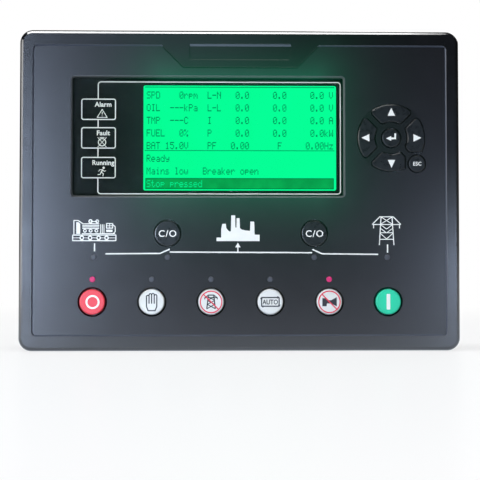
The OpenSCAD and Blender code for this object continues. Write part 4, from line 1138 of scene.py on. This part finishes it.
class SetStage(bpy.types.Operator):
    """Sets the floor, lamps, surroundings and camera"""

    bl_idname = "controller.set_stage"
    bl_label = "Studio"

    # Place, point faced, width and height of each lamp in metres, and whether its light is cool
    LAMPS = (("left_card", (-0.458, -1.0, 0.05), (-0.458, 0, 0.05), 0.25, 0.27, True),
             ("low_card", (-0.458, -0.99, -0.065), (-0.458, 0, -0.065), 0.25, 0.04, True),
             ("upper_card", (-0.13, -1.0, 0.26), (-0.13, 0, 0.26), 0.38, 0.12, True),
             ("right_card", (0.372, -1.0, -0.058), (0.372, 0, -0.058), 0.05, 0.05, True),
             ("side_card", (-1.0, -0.25, 0.15), (0, 0, 0), 0.5, 0.5, False),
             ("top_card", (-0.2, -0.03, 0.9), (-0.2, 0, 0), 0.85, 0.15, False),
             ("front_card", (0.3, -0.9, 1.0), (0, 0, 0), 0.7, 0.5, False),
             ("back_card", (0.5, 1.1, 0.6), (0, 0, 0), 0.7, 0.5, False))
    # Half size of the floor in metres
    FLOOR = 6.0
    # Where the floor starts to shine in mirrors and does so fully, and where it fades to white, in metres
    SHINE_DEPTH = (-0.7, -0.25)
    FADE = (0.2, 0.75)
    # Light of the floor for the camera and for mirrors, and the tint of the second
    SEEN_LEVEL = 0.7
    MIRROR_LEVEL = 0.85
    MIRROR_TINT = (0.76, 0.86, 1.0, 1.0)
    # Share of the light that the floor throws back, share that it mirrors and roughness of that mirror
    MATT_SHARE = 0.32
    MIRROR_SHARE = 0.08
    MIRROR_ROUGHNESS = 0.22
    # Depth of the direction from which the room behind the object is white, and is so fully
    WHITE_BEHIND = (0.93, 1.0)
    # Camera: lens and sensor in millimetres, shift, angles in degrees and distance in metres
    LENS = 110.15
    SENSOR = 36.0
    SHIFT = (-0.0007, -0.1045)
    ACROSS = -1.7
    UP = -2.5
    AWAY = 0.8

    def floor(self, context):
        """Pale floor that looks white, keeps a soft shadow and mirrors the object faintly."""
        shape = bmesh.new()
        bmesh.ops.create_grid(shape, x_segments=1, y_segments=1, size=self.FLOOR,
                              matrix=Matrix.Translation((0, 0, CAD_BOX[0].z)))
        data = bpy.data.meshes.new("studio_floor")
        shape.to_mesh(data)
        shape.free()
        material = bpy.data.materials.new("studio_floor")
        material.use_nodes = True
        material.node_tree.nodes.clear()
        graph = Graph(material.node_tree)
        camera, mirrors = graph.rays()
        spot = graph.add("TexCoord", output="Object")
        depth = graph.add("SeparateXYZ", {0: spot}, "Y")
        mirrored = graph.sum("MULTIPLY", mirrors, graph.span(depth, 0.0, 1.0, *self.SHINE_DEPTH))
        level = graph.sum("MULTIPLY_ADD", camera, self.SEEN_LEVEL,
                          graph.sum("MULTIPLY", mirrored, self.MIRROR_LEVEL))
        shine = graph.add("Emission", {"Color": graph.mix(camera, self.MIRROR_TINT, WHITE), "Strength": level})
        colour = [part * self.MATT_SHARE for part in context.scene.controller_colours.floor]
        both = graph.add("AddShader", {0: shine, 1: graph.add("BsdfDiffuse", {"Color": (*colour, 1.0)})})
        mirror = graph.add("BsdfGlossy", {"Roughness": self.MIRROR_ROUGHNESS})
        near = graph.add("MixShader", {0: self.MIRROR_SHARE, 1: both, 2: mirror})
        far = graph.add("Emission", {"Strength": graph.sum("MAXIMUM", camera, mirrored)})
        fade = graph.span(graph.vector("LENGTH", spot, output="Value"), 0.0, 1.0, *self.FADE,
                          interpolation_type="SMOOTHSTEP")
        surface = graph.add("MixShader", {0: fade, 1: near, 2: far})
        graph.feed(graph.nodes.new("ShaderNodeOutputMaterial"), {"Surface": surface})
        data.materials.append(material)
        floor = bpy.data.objects.new("studio_floor", data)
        context.scene.collection.objects.link(floor)

    def surroundings(self, context):
        """Even light all round, white where the camera looks and behind the object."""
        studio = context.scene.controller_studio
        world = bpy.data.worlds.new("studio")
        world.use_nodes = True
        world.node_tree.nodes.clear()
        graph = Graph(world.node_tree)
        camera, mirrors = graph.rays()
        depth = graph.add("SeparateXYZ", {0: graph.add("TexCoord", output="Generated")}, "Y")
        behind = graph.sum("MULTIPLY", mirrors, graph.span(depth, 0.0, 1.0, *self.WHITE_BEHIND))
        room = graph.span(mirrors, studio.ambient, studio.dim, 0.0, 1.0)
        strength = graph.span(graph.sum("MAXIMUM", camera, behind), room, 1.0, 0.0, 1.0)
        sky = graph.add("Background", {"Color": WHITE, "Strength": strength})
        graph.feed(graph.nodes.new("ShaderNodeOutputWorld"), {"Surface": sky})
        context.scene.world = world

    def aimed(self, context, name, data, place, ahead):
        """Adds a lamp or a camera that looks along a direction."""
        made = bpy.data.objects.new(name, data)
        made.location = place
        made.rotation_mode = "QUATERNION"
        made.rotation_quaternion = ahead.to_track_quat("-Z", "Y")
        context.scene.collection.objects.link(made)
        return made

    def lamps(self, context):
        """Soft rectangular lamps, each of which faces a point."""
        studio = context.scene.controller_studio
        for name, place, target, width, height, cool in self.LAMPS:
            data = bpy.data.lights.new(name, "AREA")
            data.shape = "RECTANGLE"
            data.size, data.size_y = width, height
            data.energy = getattr(studio, name)
            if cool:
                data.color = studio.cool
            self.aimed(context, name, data, place, Vector(target) - Vector(place))

    def camera(self, context):
        """Camera a little left of and below the middle of the front."""
        data = bpy.data.cameras.new("camera")
        data.sensor_width = self.SENSOR
        data.lens = self.LENS
        data.shift_x, data.shift_y = self.SHIFT
        across, up = math.radians(self.ACROSS), math.radians(self.UP)
        back = Vector((math.sin(across) * math.cos(up), -math.cos(across) * math.cos(up), math.sin(up)))
        place = Vector((0, CAD_BOX[0].y, 0)) + back * self.AWAY
        context.scene.camera = self.aimed(context, "camera", data, place, -back)

    def execute(self, context):
        context.scene.view_settings.view_transform = "Standard"
        self.floor(context)
        self.surroundings(context)
        self.lamps(context)
        self.camera(context)
        return {"FINISHED"}


STEPS = (DressMouldings, DressDisplay, DressElectronics, DressTerminals, DressKeys, MouldKeymat, PrintMimic, PrintPane,
         DrawScreen, PrintKeys, PrintTerminals, SetStage)


class ControllerPanel(bpy.types.Panel):
    """Lists the steps and the values of the controller"""

    bl_idname = "VIEW3D_PT_controller"
    bl_label = "Genset controller"
    bl_space_type = "VIEW_3D"
    bl_region_type = "UI"
    bl_category = "Controller"

    def draw(self, context):
        for step in STEPS:
            self.layout.operator(step.bl_idname)
        for group in (context.scene.controller_sizes, context.scene.controller_colours,
                      context.scene.controller_studio):
            box = self.layout.box()
            for name in group.__annotations__:
                box.prop(group, name)


GROUPS = {"controller_sizes": ControllerSizes, "controller_colours": ControllerColours,
          "controller_studio": ControllerStudio}


def register():
    """Makes the classes and the scene's values known."""
    for name, group in GROUPS.items():
        bpy.utils.register_class(group)
        setattr(bpy.types.Scene, name, PointerProperty(type=group))
    for kind in (*STEPS, ControllerPanel):
        bpy.utils.register_class(kind)


def unregister():
    """Takes the classes and the scene's values out again."""
    for kind in reversed((*STEPS, ControllerPanel)):
        bpy.utils.unregister_class(kind)
    for name, group in reversed(GROUPS.items()):
        delattr(bpy.types.Scene, name)
        bpy.utils.unregister_class(group)


def main():
    """Runs every step in order."""
    register()
    for step in STEPS:
        family, name = step.bl_idname.split(".")
        getattr(getattr(bpy.ops, family), name)()


if __name__ == "__main__":
    main()
